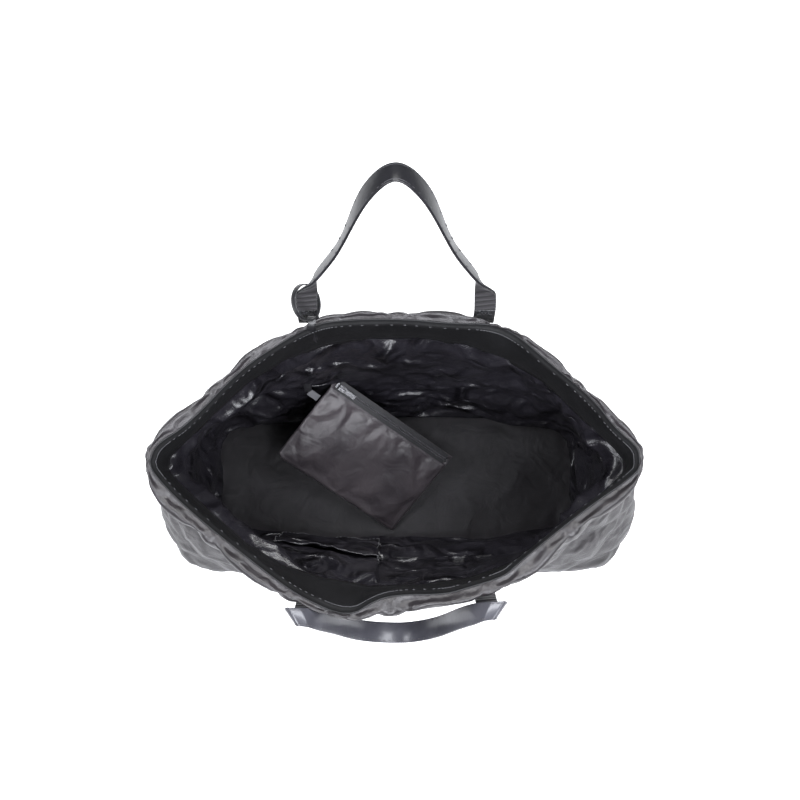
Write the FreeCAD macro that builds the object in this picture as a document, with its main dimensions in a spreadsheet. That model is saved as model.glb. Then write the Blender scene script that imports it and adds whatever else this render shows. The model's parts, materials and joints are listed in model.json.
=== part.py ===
import FreeCAD, Part
import math
import os

import Sketcher

# Open-top padded tote bag (a baby-changing tote) with two strap handles, a loose lining with a zip
# pocket and a slip pocket, and a zip pouch that hangs inside on a narrow tether.
#
# Frame: millimetres, +Z up, origin at the centre of the underside. X runs along the long side of the
# bag and +Y points to the back panel. The bag stands open, so its mouth is a long hexagon whose two
# tips are the side seams.

os.makedirs("parts", exist_ok=True)
doc = FreeCAD.newDocument("ToteBag")

# ---------------------------------------------------------------------------------------- sizes

SIZES = {
    # Heights of the cross-sections through the walls.
    "base_height": 15.0,
    "low_height": 60.0,
    "mid_height": 170.0,
    "facing_height": 285.0,
    "rim_height": 350.0,
    "lining_height": 150.0,
    # Half plan of each cross-section: tip = side seam, flat = straight front or back stretch.
    "base_tip_length": 250.0,
    "base_tip_width": 60.0,
    "base_flat_length": 222.0,
    "base_front_depth": 88.0,
    "base_back_depth": 88.0,
    "low_tip_length": 278.0,
    "low_tip_width": 80.0,
    "low_flat_length": 240.0,
    "low_front_depth": 110.0,
    "low_back_depth": 118.0,
    "mid_tip_length": 284.0,
    "mid_tip_width": 55.0,
    "mid_flat_length": 205.0,
    "mid_front_depth": 118.0,
    "mid_back_depth": 138.0,
    "facing_tip_length": 264.0,
    "facing_tip_width": 12.0,
    "facing_flat_length": 118.0,
    "facing_front_depth": 138.0,
    "facing_back_depth": 150.0,
    "rim_tip_length": 280.0,
    "rim_tip_width": 15.0,
    "rim_flat_length": 105.0,
    "rim_front_depth": 154.0,
    "rim_back_depth": 162.0,
    "lining_tip_length": 268.0,
    "lining_tip_width": 45.0,
    "lining_flat_length": 195.0,
    "lining_front_depth": 108.0,
    "lining_back_depth": 133.0,
    # Layers of the wall, measured outwards from the inner face of the facing.
    "inner_face": 0.0,
    "lining_outer": 1.2,
    "facing_outer": 1.5,
    "wadding_inner": 3.0,
    "wadding_outer": 9.5,
    "shell_inner": 9.8,
    "shell_outer": 11.0,
    "corner_share": 0.4,
    "seam_gap": 0.25,
    "layer_gap": 0.3,
    # Layers of the base.
    "base_cloth": 1.2,
    "base_wadding": 7.0,
    "board_thickness": 2.5,
    "board_inset": -3.0,
    # Handles: a leather-look strap lined with webbing.
    "strap_width": 25.0,
    "strap_face": 1.8,
    "strap_backing": 1.2,
    "strap_layer_gap": 0.2,
    "handle_half_span": 102.0,
    "handle_drop": 170.0,
    "handle_lean": 40.0,
    "handle_apex_roll": 25.0,
    "pivot_height": 354.0,
    "back_pivot_depth": 175.0,
    "foot_length": 62.0,
    "foot_drop": 1.5,
    "foot_gap": 0.6,
    "front_fold_half_span": 114.0,
    "front_sag": 145.0,
    "front_pivot_depth": 180.0,
    "front_pivot_height": 358.0,
    "front_hang": 9.0,
    "front_fold_slope": 0.8,
    # Tether and its loop round the foot of the back handle. It starts outside the rim, crests it,
    # drops along the facing, hangs clear of the lining and ends just above the pouch's tab.
    "tether_width": 8.0,
    "tether_thickness": 1.8,
    "tether_place": 96.0,
    "tether_start_out": 5.0,
    "tether_start_rise": 9.0,
    "tether_crest_in": 4.0,
    "tether_crest_rise": 5.0,
    "tether_drop_in": 14.0,
    "tether_drop": 12.0,
    "tether_wall_gap": 9.0,
    "tether_belly_share": 0.7,
    "tether_belly_out": 20.0,
    "tether_belly_rise": 60.0,
    "tether_end_gap": 1.0,
    "tab_end_gap": 1.2,
    "loop_half_width": 21.0,
    "loop_half_length": 21.5,
    "loop_band": 1.6,
    "loop_along_strap": 30.0,
    "loop_inset": 9.0,
    "loop_tilt": 58.0,
    # Pouch, in its own plane: the zip runs along the top edge from the top left corner.
    "pouch_width": 200.0,
    "pouch_depth": 134.0,
    "pouch_front_thickness": 4.5,
    "pouch_back_thickness": 4.0,
    "pouch_inset": 9.0,
    "pouch_corner": 8.0,
    "pouch_yaw": -32.3,
    "pouch_pitch": 27.1,
    "pouch_roll": 21.5,
    "pouch_corner_x": -75.0,
    "pouch_corner_y": 123.0,
    "pouch_corner_z": 156.0,
    "tab_length": 16.0,
    "tab_width": 9.0,
    "tab_thickness": 1.4,
    "tab_place": 38.0,
    "tab_middle": -2.6,
    # Coil zips: two tapes, two coils, end stops, slider and puller.
    "tape_width": 6.0,
    "tape_thickness": 0.6,
    "zip_split": 1.2,
    "coil_width": 1.5,
    "coil_thickness": 2.0,
    "coil_gap": 0.1,
    "stop_length": 2.4,
    "slider_length": 9.0,
    "slider_width": 7.6,
    "slider_plate": 1.2,
    "slider_post": 0.9,
    "slider_clearance": 0.1,
    "bridge_length": 8.0,
    "bridge_height": 3.0,
    "bridge_bar": 1.2,
    "bridge_width": 2.0,
    "puller_length": 21.0,
    "puller_width": 6.0,
    "puller_thickness": 1.0,
    "puller_eye_width": 3.2,
    "puller_eye_length": 4.8,
    "puller_bar": 1.2,
    "pouch_zip_length": 184.0,
    "pouch_zip_place": 8.5,
    "pouch_slider_rest": 2.0,
    # Pockets on the front wall of the lining.
    "pocket_zip_length": 150.0,
    "pocket_zip_height": 130.0,
    "pocket_zip_centre": 77.0,
    "pocket_slider_rest": 6.0,
    "pocket_bag_gap": 0.4,
    "pocket_window": 12.0,
    "pocket_depth": 90.0,
    "pocket_thickness": 2.6,
    "slip_pocket_width": 140.0,
    "slip_pocket_height": 130.0,
    "slip_pocket_bottom": 60.0,
    "slip_pocket_side": 20.0,
    "slip_pocket_thickness": 0.8,
}

sheet = doc.addObject("Spreadsheet::Sheet", "Sizes")
for row, (size_name, size_value) in enumerate(SIZES.items(), start=1):
    sheet.set("A%d" % row, size_name)
    sheet.set("B%d" % row, str(size_value))
    sheet.setAlias("B%d" % row, size_name)
doc.recompute()


def size(name):
    """The number held in one cell of the sheet."""
    return float(sheet.get(name))


# ------------------------------------------------------------------------------------ sketching

SUB_PARTS = []


def new_body(label):
    """A PartDesign body that will be written as one sub-part."""
    body = doc.addObject("PartDesign::Body", label)
    body.Label = label
    SUB_PARTS.append(body)
    return body


def closed_outline(body, name, plane_role, points, offset="0"):
    """Closed polygon on one of the body's origin planes; every corner is tied to the sheet."""
    plane = next(face for face in body.Origin.OriginFeatures if face.Role == plane_role)
    sketch = body.newObject("Sketcher::SketchObject", name)
    sketch.AttachmentSupport = [(plane, "")]
    sketch.MapMode = "FlatFace"
    sketch.setExpression("AttachmentOffset.Base.z", offset)
    count = len(points)
    start = []
    for index in range(count):
        angle = 2 * math.pi * index / count
        start.append(FreeCAD.Vector(10 * math.cos(angle), 10 * math.sin(angle), 0))
    for index in range(count):
        sketch.addGeometry(Part.LineSegment(start[index], start[(index + 1) % count]), False)
    for index in range(count):
        following = (index + 1) % count
        sketch.addConstraint(Sketcher.Constraint("Coincident", index, 2, following, 1))
    for index, (across, along) in enumerate(points):
        across_rule = Sketcher.Constraint("DistanceX", -1, 1, index, 1, start[index].x)
        sketch.setExpression("Constraints[%d]" % sketch.addConstraint(across_rule), across)
        along_rule = Sketcher.Constraint("DistanceY", -1, 1, index, 1, start[index].y)
        sketch.setExpression("Constraints[%d]" % sketch.addConstraint(along_rule), along)
    return sketch


def rectangle(left, right, bottom, top):
    """Corner expressions of a rectangle, counter-clockwise."""
    return [(left, bottom), (right, bottom), (right, top), (left, top)]


def pad(body, sketch, length):
    """Pad a sketch along its plane's normal by a length from the sheet."""
    feature = body.newObject("PartDesign::Pad", sketch.Name + "Pad")
    feature.Profile = sketch
    feature.setExpression("Length", length)
    return feature


def part_box(label, frame, corner, length, width, height):
    """Box bound to the sheet, placed by one corner in a local frame."""
    box = doc.addObject("Part::Box", label)
    box.Label = label
    box.setExpression("Length", length)
    box.setExpression("Width", width)
    box.setExpression("Height", height)
    box.Placement = frame.multiply(FreeCAD.Placement(corner, FreeCAD.Rotation()))
    return box


# ------------------------------------------------------------------------------ bag walls, base

OUTER_LEVELS = ("low", "mid", "facing", "rim")


def wall_corners(level, side, offset):
    """Tip and flat corners of one cross-section, pushed out by a layer offset."""
    tip_x = "(Sizes.%s_tip_length + Sizes.%s)" % (level, offset)
    tip_y = "(Sizes.%s_tip_width + Sizes.%s * Sizes.corner_share)" % (level, offset)
    flat_x = "(Sizes.%s_flat_length + Sizes.%s * Sizes.corner_share)" % (level, offset)
    flat_y = "(Sizes.%s_%s_depth + Sizes.%s)" % (level, side, offset)
    return tip_x, tip_y, flat_x, flat_y


def wall_path(level, side, offset):
    """From the left side seam round the panel to the right side seam."""
    tip_x, tip_y, flat_x, flat_y = wall_corners(level, side, offset)
    return [
        ("-" + tip_x, "-Sizes.seam_gap"),
        ("-" + tip_x, "-" + tip_y),
        ("-" + flat_x, "-" + flat_y),
        (flat_x, "-" + flat_y),
        (tip_x, "-" + tip_y),
        (tip_x, "-Sizes.seam_gap"),
    ]


def half_wall(label, side, inner, outer, sections):
    """Front or back half of one wall layer, lofted through its cross-sections."""
    body = new_body(label)
    sketches = []
    for height, level in sections:
        points = wall_path(level, side, outer) + wall_path(level, side, inner)[::-1]
        name = "%s_%s" % (label, level)
        sketches.append(closed_outline(body, name, "XY_Plane", points, height))
    loft = body.newObject("PartDesign::AdditiveLoft", label + "_loft")
    loft.Profile = sketches[0]
    loft.Sections = sketches[1:]
    loft.Ruled = True
    if side == "back":
        half_turn = FreeCAD.Rotation(FreeCAD.Vector(0, 0, 1), 180)
        body.Placement = FreeCAD.Placement(FreeCAD.Vector(), half_turn)
    return body


def base_plate(label, offset, bottom, thickness):
    """Flat layer of the base with the plan of the lowest cross-section."""
    body = new_body(label)
    tip_x, tip_y, flat_x, front_y = wall_corners("base", "front", offset)
    back_y = wall_corners("base", "back", offset)[3]
    points = [
        ("-" + tip_x, "-" + tip_y),
        ("-" + flat_x, "-" + front_y),
        (flat_x, "-" + front_y),
        (tip_x, "-" + tip_y),
        (tip_x, tip_y),
        (flat_x, back_y),
        ("-" + flat_x, back_y),
        ("-" + tip_x, tip_y),
    ]
    sketch = closed_outline(body, label + "_plan", "XY_Plane", points, bottom)
    pad(body, sketch, thickness)
    return body


def build_walls():
    """Shell cloth, wadding, lining and facing of both panels."""
    cloth_bottom = "Sizes.base_cloth + Sizes.layer_gap"
    wadding_bottom = cloth_bottom + " + Sizes.base_wadding + Sizes.layer_gap"
    upper = [("Sizes.%s_height" % level, level) for level in OUTER_LEVELS]
    lining_sections = [
        ("Sizes.base_height", "base"),
        ("Sizes.lining_height", "lining"),
        ("Sizes.facing_height - Sizes.layer_gap", "facing"),
    ]
    facing_sections = [("Sizes.facing_height", "facing"), ("Sizes.rim_height", "rim")]
    for side in ("front", "back"):
        half_wall("outer_%s_panel" % side, side, "shell_inner", "shell_outer",
                  [(cloth_bottom, "base")] + upper)
        half_wall("wadding_%s" % side, side, "wadding_inner", "wadding_outer",
                  [(wadding_bottom, "base")] + upper)
        lining = half_wall("lining_%s" % side, side, "inner_face", "lining_outer", lining_sections)
        half_wall("facing_%s" % side, side, "inner_face", "facing_outer", facing_sections)
        if side == "front":
            cut_pocket_window(lining)


def cut_pocket_window(lining):
    """Slot in the front lining that shows the pocket zip."""
    half_length = "(Sizes.pocket_zip_length / 2 + Sizes.stop_length + Sizes.layer_gap)"
    half_window = "Sizes.pocket_window / 2"
    points = rectangle(
        "Sizes.pocket_zip_centre - " + half_length,
        "Sizes.pocket_zip_centre + " + half_length,
        "Sizes.pocket_zip_height - " + half_window,
        "Sizes.pocket_zip_height + " + half_window,
    )
    doc.recompute()
    uncut = lining.Shape.Volume
    window = lining.newObject("PartDesign::Pocket", "pocket_window")
    window.Profile = closed_outline(lining, "window_outline", "XZ_Plane", points)
    window.Type = "ThroughAll"
    window.Midplane = True
    doc.recompute()
    if lining.Shape.Volume > uncut - size("pocket_zip_length"):
        raise RuntimeError("the pocket window cuts nothing")


def build_base():
    """Cloth, wadding, stiffening board and lining of the base."""
    wadding_bottom = "Sizes.base_cloth + Sizes.layer_gap"
    board_bottom = wadding_bottom + " + Sizes.base_wadding + Sizes.layer_gap"
    lining_bottom = board_bottom + " + Sizes.board_thickness + Sizes.layer_gap"
    base_plate("outer_base_panel", "shell_outer", "0", "Sizes.base_cloth")
    base_plate("wadding_base", "wadding_outer", wadding_bottom, "Sizes.base_wadding")
    base_plate("base_board", "board_inset", board_bottom, "Sizes.board_thickness")
    base_plate("lining_base", "inner_face", lining_bottom, "Sizes.lining_outer")


# --------------------------------------------------------------------------- handles and tether

# Shape of one handle leg, from the foot (1, 0) towards the middle (0, 1), as shares of the half
# span and of the drop.
ARCH_LEG = [(1.0, 0.0), (0.96, 0.14), (0.58, 0.45), (0.38, 0.76)]
SAG_LEG = [(1.0, 0.0), (0.86, 0.16), (0.66, 0.50), (0.40, 0.84)]
HANDLE_STATIONS = 21
TETHER_STATIONS = 17


def ribbon(label, stations, width, low, high, placement):
    """Strap layer lofted through rectangles; each station is (point, width axis, face normal)."""
    wires = []
    for point, across, normal in stations:
        corners = [
            point - across * (width / 2) + normal * low,
            point + across * (width / 2) + normal * low,
            point + across * (width / 2) + normal * high,
            point - across * (width / 2) + normal * high,
        ]
        wires.append(Part.makePolygon(corners + corners[:1]))
    piece = doc.addObject("Part::Feature", label)
    piece.Label = label
    piece.Shape = Part.makeLoft(wires, True, False)
    piece.Placement = placement
    SUB_PARTS.append(piece)
    return piece


def points_along(curve, count):
    """Evenly spaced points of a curve as (share of its length, point, tangent)."""
    found = []
    for index in range(count):
        share = index / (count - 1)
        parameter = curve.parameterAtDistance(share * curve.length(), curve.FirstParameter)
        found.append((share, curve.value(parameter), FreeCAD.Vector(*curve.tangent(parameter)[0])))
    return found


def curve_stations(curve, normal_at):
    """Strap stations along a curve in the XZ plane."""
    stations = []
    for share, point, tangent in points_along(curve, HANDLE_STATIONS):
        outward = FreeCAD.Vector(-tangent.z, 0, tangent.x)
        normal = normal_at(share, outward)
        stations.append((point, tangent.cross(normal), normal))
    return stations


def smooth_curve(points, first_tangent, last_tangent):
    """Interpolated curve with given end directions."""
    curve = Part.BSplineCurve()
    curve.interpolate(Points=points, InitialTangent=first_tangent, FinalTangent=last_tangent)
    return curve


def symmetric_curve(leg, half_span, drop, first_tangent, last_tangent):
    """Curve through one leg's points, the middle point and the mirrored leg."""
    left = [FreeCAD.Vector(-half_span * x, 0, drop * z) for x, z in leg]
    right = [FreeCAD.Vector(half_span * x, 0, drop * z) for x, z in reversed(leg)]
    middle = [FreeCAD.Vector(0, 0, drop)]
    return smooth_curve(left + middle + right, first_tangent, last_tangent)


def strap_pair(prefix, stations, placement):
    """The leather-look face and the webbing under it."""
    width = size("strap_width")
    middle = size("strap_layer_gap") / 2
    ribbon(prefix + "_strap", stations, width, middle, middle + size("strap_face"), placement)
    ribbon(prefix + "_backing", stations, width, -middle - size("strap_backing"), -middle, placement)


def back_handle_placement():
    """Handle plane leaning back about the line through its two feet."""
    pivot = FreeCAD.Vector(0, size("back_pivot_depth"), size("pivot_height"))
    return FreeCAD.Placement(pivot, FreeCAD.Rotation(FreeCAD.Vector(1, 0, 0), -size("handle_lean")))


def build_back_handle():
    """Arch whose legs rise flat from the panel and twist so that the face turns up at the top."""
    arch = symmetric_curve(ARCH_LEG, size("handle_half_span"), size("handle_drop"),
                           FreeCAD.Vector(0, 0, 1), FreeCAD.Vector(0, 0, -1))
    roll = size("handle_apex_roll")

    def normal_at(share, outward):
        height = 1 - abs(2 * share - 1)
        turn = math.radians(90 - (90 + roll) * (3 * height ** 2 - 2 * height ** 3))
        return outward * math.cos(turn) + FreeCAD.Vector(0, math.sin(turn), 0)

    strap_pair("back_handle", curve_stations(arch, normal_at), back_handle_placement())


def build_front_handle():
    """Strap that folds over at the rim and droops in front of the bag, face side up."""
    slope = size("front_fold_slope")
    curve = symmetric_curve(SAG_LEG, size("front_fold_half_span"), -size("front_sag"),
                            FreeCAD.Vector(1, 0, -slope), FreeCAD.Vector(1, 0, slope))
    pivot = FreeCAD.Vector(0, -size("front_pivot_depth"), size("front_pivot_height"))
    hang = FreeCAD.Rotation(FreeCAD.Vector(1, 0, 0), -size("front_hang"))
    stations = curve_stations(curve, lambda share, outward: outward)
    strap_pair("front_handle", stations, FreeCAD.Placement(pivot, hang))


def build_feet():
    """Sewn strap ends on the outside of the panels, following the flare below the rim."""
    rise = size("rim_height") - size("facing_height")
    for side, outward in (("front", -1), ("back", 1)):
        top_depth = size("rim_%s_depth" % side)
        flare = math.atan2(top_depth - size("facing_%s_depth" % side), rise)
        along = FreeCAD.Vector(0, outward * math.sin(flare), math.cos(flare))
        normal = FreeCAD.Vector(0, outward * math.cos(flare), -math.sin(flare))
        turn = FreeCAD.Rotation(along.cross(normal), along, normal, "ZXY")
        skin = outward * (top_depth + size("shell_outer"))
        corner = FreeCAD.Vector(-size("strap_width") / 2, -size("foot_length"), size("foot_gap"))
        for hand, place in (("left", -1), ("right", 1)):
            top = FreeCAD.Vector(place * size("handle_half_span"), skin, size("rim_height"))
            foot = part_box("%s_handle_foot_%s" % (side, hand), FreeCAD.Placement(top, turn), corner,
                            "Sizes.strap_width", "Sizes.foot_length - Sizes.foot_drop",
                            "Sizes.strap_face + Sizes.strap_backing")
            SUB_PARTS.append(foot)


def build_tether_loop():
    """Oval band round the back handle's left leg."""
    place = FreeCAD.Vector(-size("handle_half_span") + size("loop_inset"), 0,
                           size("loop_along_strap"))
    centre = back_handle_placement().multVec(place)
    tilt = math.radians(90 - size("handle_lean") - size("loop_tilt"))
    axis = FreeCAD.Vector(0, -math.sin(tilt), math.cos(tilt))
    long_axis = FreeCAD.Vector(0, math.cos(tilt), math.sin(tilt))
    half_width = size("loop_half_width")
    half_length = size("loop_half_length")
    band = size("loop_band")
    height = size("tether_width")
    start = centre - axis * (height / 2)

    def oval(long_half, short_half):
        ellipse = Part.Ellipse(FreeCAD.Vector(), long_half, short_half)
        wire = Part.Wire(ellipse.toShape())
        turn = FreeCAD.Rotation(long_axis, axis.cross(long_axis), axis, "ZXY")
        wire.Placement = FreeCAD.Placement(start, turn)
        return Part.Face(wire).extrude(axis * height)

    loop = doc.addObject("Part::Feature", "tether_loop")
    loop.Label = "tether_loop"
    loop.Shape = oval(half_length, half_width).cut(oval(half_length - band, half_width - band))
    SUB_PARTS.append(loop)


def tether_curve():
    """Middle of the tether, from outside the rim to the tab's free end."""
    end = tether_end()
    rim = size("rim_height")
    back = size("rim_back_depth")
    x = -size("tether_place")
    share = size("tether_belly_share")
    path = [
        FreeCAD.Vector(x, back + size("tether_start_out"), rim + size("tether_start_rise")),
        FreeCAD.Vector(x, back - size("tether_crest_in"), rim + size("tether_crest_rise")),
        FreeCAD.Vector(x, back - size("tether_drop_in"), rim - size("tether_drop")),
        FreeCAD.Vector(x, size("facing_back_depth") - size("tether_wall_gap"),
                       size("facing_height")),
        FreeCAD.Vector((1 - share) * x + share * end.x, end.y + size("tether_belly_out"),
                       end.z + size("tether_belly_rise")),
        FreeCAD.Vector(end.x, end.y, end.z + size("tether_end_gap")),
    ]
    return smooth_curve(path, FreeCAD.Vector(0, -1, 0.2), FreeCAD.Vector(0, -0.4, -1))


def build_tether():
    """Narrow strap over the rim down to the pouch."""
    stations = []
    for _, point, tangent in points_along(tether_curve(), TETHER_STATIONS):
        level = FreeCAD.Vector(1, 0, 0)
        across = (level - tangent * level.dot(tangent)).normalize()
        stations.append((point, across, tangent.cross(across)))
    half = size("tether_thickness") / 2
    ribbon("tether_strap", stations, size("tether_width"), -half, half, FreeCAD.Placement())


# ----------------------------------------------------------------------------------------- zips


def build_zip(prefix, frame, length_cell, slider_at, puller_side):
    """Coil zip in a local frame: X along the coils, Z out of the tape towards the puller."""
    length = size(length_cell)
    split = size("zip_split")
    coil = size("coil_width")
    coil_height = size("coil_thickness")
    tape = size("tape_thickness")
    tape_width = size("tape_width")
    for name, sign in (("upper", 1), ("lower", -1)):
        inner = split / 2 + coil + size("coil_gap")
        corner = FreeCAD.Vector(-length / 2, min(sign * inner, sign * (inner + tape_width)), -tape / 2)
        SUB_PARTS.append(part_box("%s_zip_tape_%s" % (prefix, name), frame, corner,
                                  "Sizes." + length_cell, "Sizes.tape_width",
                                  "Sizes.tape_thickness"))
        corner = FreeCAD.Vector(-length / 2, min(sign * split / 2, sign * (split / 2 + coil)),
                                -coil_height / 2)
        SUB_PARTS.append(part_box("%s_zip_coil_%s" % (prefix, name), frame, corner,
                                  "Sizes." + length_cell, "Sizes.coil_width",
                                  "Sizes.coil_thickness"))
    build_stops(prefix, frame, length)
    build_slider(prefix, frame, slider_at)
    build_puller(prefix, frame, slider_at, puller_side)


def build_stops(prefix, frame, length):
    """The stops clamped on both ends of the coils."""
    stop = size("stop_length")
    gap = size("coil_gap")
    boxes = []
    for hand, x in (("a", -length / 2 - stop - gap), ("b", length / 2 + gap)):
        corner = FreeCAD.Vector(x, -size("slider_width") / 2, -size("coil_thickness") / 2)
        boxes.append(part_box("%s_stop_%s" % (prefix, hand), frame, corner, "Sizes.stop_length",
                              "Sizes.slider_width", "Sizes.coil_thickness"))
    stops = doc.addObject("Part::Compound", "%s_zip_stops" % prefix)
    stops.Label = stops.Name
    stops.Links = boxes
    SUB_PARTS.append(stops)


def build_slider(prefix, frame, slider_at):
    """Two plates joined by a post that runs between the coils, with a bridge for the puller."""
    body = new_body("%s_zip_slider" % prefix)
    gap = "Sizes.coil_thickness / 2 + Sizes.slider_clearance"
    top = gap + " + Sizes.slider_plate"
    wide = "Sizes.slider_width / 2"
    post = "Sizes.slider_post / 2"
    section = [
        ("-" + wide, "-(%s)" % top), (wide, "-(%s)" % top), (wide, "-(%s)" % gap),
        (post, "-(%s)" % gap), (post, gap), (wide, gap), (wide, top), ("-" + wide, top),
        ("-" + wide, gap), ("-" + post, gap), ("-" + post, "-(%s)" % gap),
        ("-" + wide, "-(%s)" % gap),
    ]
    sketch = closed_outline(body, prefix + "_slider_section", "YZ_Plane", section)
    pad(body, sketch, "Sizes.slider_length").Midplane = True
    outer = "Sizes.bridge_length / 2"
    inner = outer + " - Sizes.bridge_bar"
    crest = "%s + Sizes.bridge_height" % top
    soffit = crest + " - Sizes.bridge_bar"
    arch = [
        ("-" + outer, top), ("-(%s)" % inner, top), ("-(%s)" % inner, soffit), (inner, soffit),
        (inner, top), (outer, top), (outer, crest), ("-" + outer, crest),
    ]
    bridge = closed_outline(body, prefix + "_bridge_outline", "XZ_Plane", arch)
    pad(body, bridge, "Sizes.bridge_width").Midplane = True
    body.Placement = frame.multiply(FreeCAD.Placement(FreeCAD.Vector(slider_at, 0, 0),
                                                      FreeCAD.Rotation()))


def puller_axis_height():
    """Height of the puller's hinge line above the middle of the tape."""
    plate_top = size("coil_thickness") / 2 + size("slider_clearance") + size("slider_plate")
    return plate_top + (size("bridge_height") - size("bridge_bar")) / 2


def build_puller(prefix, frame, slider_at, puller_side):
    """Flat tab with an eye; its end bar sits under the slider's bridge."""
    body = new_body("%s_zip_puller" % prefix)
    half_bar = "Sizes.puller_bar / 2"
    half_eye = "Sizes.puller_eye_width / 2"
    half_wide = "Sizes.puller_width / 2"
    eye_end = half_bar + " + Sizes.puller_eye_length"
    tip = "Sizes.puller_length"
    plate = rectangle("-" + half_bar, tip, "-" + half_wide, half_wide)
    sketch = closed_outline(body, prefix + "_puller_plan", "XY_Plane", plate)
    pad(body, sketch, "Sizes.puller_thickness").Midplane = True
    eye = rectangle(half_bar, eye_end, "-" + half_eye, half_eye)
    doc.recompute()
    solid = body.Shape.Volume
    cut = body.newObject("PartDesign::Pocket", prefix + "_puller_eye")
    cut.Profile = closed_outline(body, prefix + "_eye_plan", "XY_Plane", eye)
    cut.Type = "ThroughAll"
    cut.Midplane = True
    doc.recompute()
    if body.Shape.Volume >= solid:
        raise RuntimeError("the puller's eye cuts nothing")
    turn = FreeCAD.Rotation(FreeCAD.Vector(0, 0, 1), 0 if puller_side > 0 else 180)
    place = FreeCAD.Vector(slider_at, 0, puller_axis_height())
    body.Placement = frame.multiply(FreeCAD.Placement(place, turn))


# ---------------------------------------------------------------------------------------- pouch


def pouch_frame():
    """Pouch plane: X along the zip edge from the top left corner, Z out of the front face."""
    corner = FreeCAD.Vector(size("pouch_corner_x"), size("pouch_corner_y"), size("pouch_corner_z"))
    turn = FreeCAD.Rotation(size("pouch_yaw"), size("pouch_pitch"), size("pouch_roll"))
    return FreeCAD.Placement(corner, turn)


def tether_end():
    """Lower end of the tether, just off the free end of the tab on the pouch's left edge."""
    beyond = size("tab_length") + size("tether_thickness") + size("tab_end_gap")
    return pouch_frame().multVec(FreeCAD.Vector(-beyond, -size("tab_place"), size("tab_middle")))


def pouch_outline(inset, top):
    """Rectangle with cut corners, pulled in from the pouch's edge."""
    left = inset
    right = "Sizes.pouch_width - " + inset
    bottom = "-Sizes.pouch_depth + " + inset
    upper = "-(%s + %s)" % (top, inset)
    cut = "Sizes.pouch_corner"
    return [
        (left + " + " + cut, bottom),
        (right + " - " + cut, bottom),
        (right, bottom + " + " + cut),
        (right, upper + " - " + cut),
        (right + " - " + cut, upper),
        (left + " + " + cut, upper),
        (left, upper + " - " + cut),
        (left, bottom + " + " + cut),
    ]


def pouch_panel(label, top, low, high, low_inset, high_inset):
    """One padded face of the pouch."""
    body = new_body(label)
    sketches = [
        closed_outline(body, label + "_low", "XY_Plane", pouch_outline(low_inset, top), low),
        closed_outline(body, label + "_high", "XY_Plane", pouch_outline(high_inset, top), high),
    ]
    loft = body.newObject("PartDesign::AdditiveLoft", label + "_loft")
    loft.Profile = sketches[0]
    loft.Sections = sketches[1:]
    loft.Ruled = True
    body.Placement = pouch_frame()


def build_pouch():
    """Two panels, a tab and the zip along the top edge."""
    no_inset = "Sizes.inner_face"
    inset = "Sizes.pouch_inset"
    zip_zone = "(Sizes.pouch_zip_place + Sizes.tape_width + 2 * Sizes.layer_gap)"
    front_low = "Sizes.tape_thickness / 2 + Sizes.layer_gap"
    slider_back = "Sizes.coil_thickness / 2 + Sizes.slider_clearance + Sizes.slider_plate"
    back_high = "-(%s) - Sizes.layer_gap" % slider_back
    pouch_panel("pouch_front_panel", zip_zone, front_low,
                front_low + " + Sizes.pouch_front_thickness", no_inset, inset)
    pouch_panel("pouch_back_panel", no_inset, back_high + " - Sizes.pouch_back_thickness",
                back_high, inset, no_inset)
    tab = part_box("pouch_tab", pouch_frame(),
                   FreeCAD.Vector(-size("tab_length"), -size("tab_place") - size("tab_width") / 2,
                                  size("tab_middle") - size("tab_thickness") / 2),
                   "Sizes.tab_length - Sizes.layer_gap", "Sizes.tab_width", "Sizes.tab_thickness")
    SUB_PARTS.append(tab)
    centre = FreeCAD.Vector(size("pouch_width") / 2, -size("pouch_zip_place"), 0)
    frame = pouch_frame().multiply(FreeCAD.Placement(centre, FreeCAD.Rotation()))
    slider_at = (size("slider_length") - size("pouch_zip_length")) / 2 + size("pouch_slider_rest")
    build_zip("pouch", frame, "pouch_zip_length", slider_at, 1)


# -------------------------------------------------------------------------------------- pockets


def front_wall_frame():
    """Frame on the front lining at the zip: X to the left, Y up the wall, Z into the bag."""
    rise = size("lining_height") - size("base_height")
    flare = math.atan2(size("lining_front_depth") - size("base_front_depth"), rise)
    height = size("pocket_zip_height")
    depth = size("base_front_depth") + (height - size("base_height")) * math.tan(flare)
    depth = depth + size("lining_outer") + size("layer_gap") + size("tape_thickness") / 2
    up = FreeCAD.Vector(0, -math.sin(flare), math.cos(flare))
    inward = FreeCAD.Vector(0, math.cos(flare), math.sin(flare))
    turn = FreeCAD.Rotation(FreeCAD.Vector(-1, 0, 0), up, inward, "ZXY")
    return FreeCAD.Placement(FreeCAD.Vector(0, -depth, height), turn)


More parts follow.
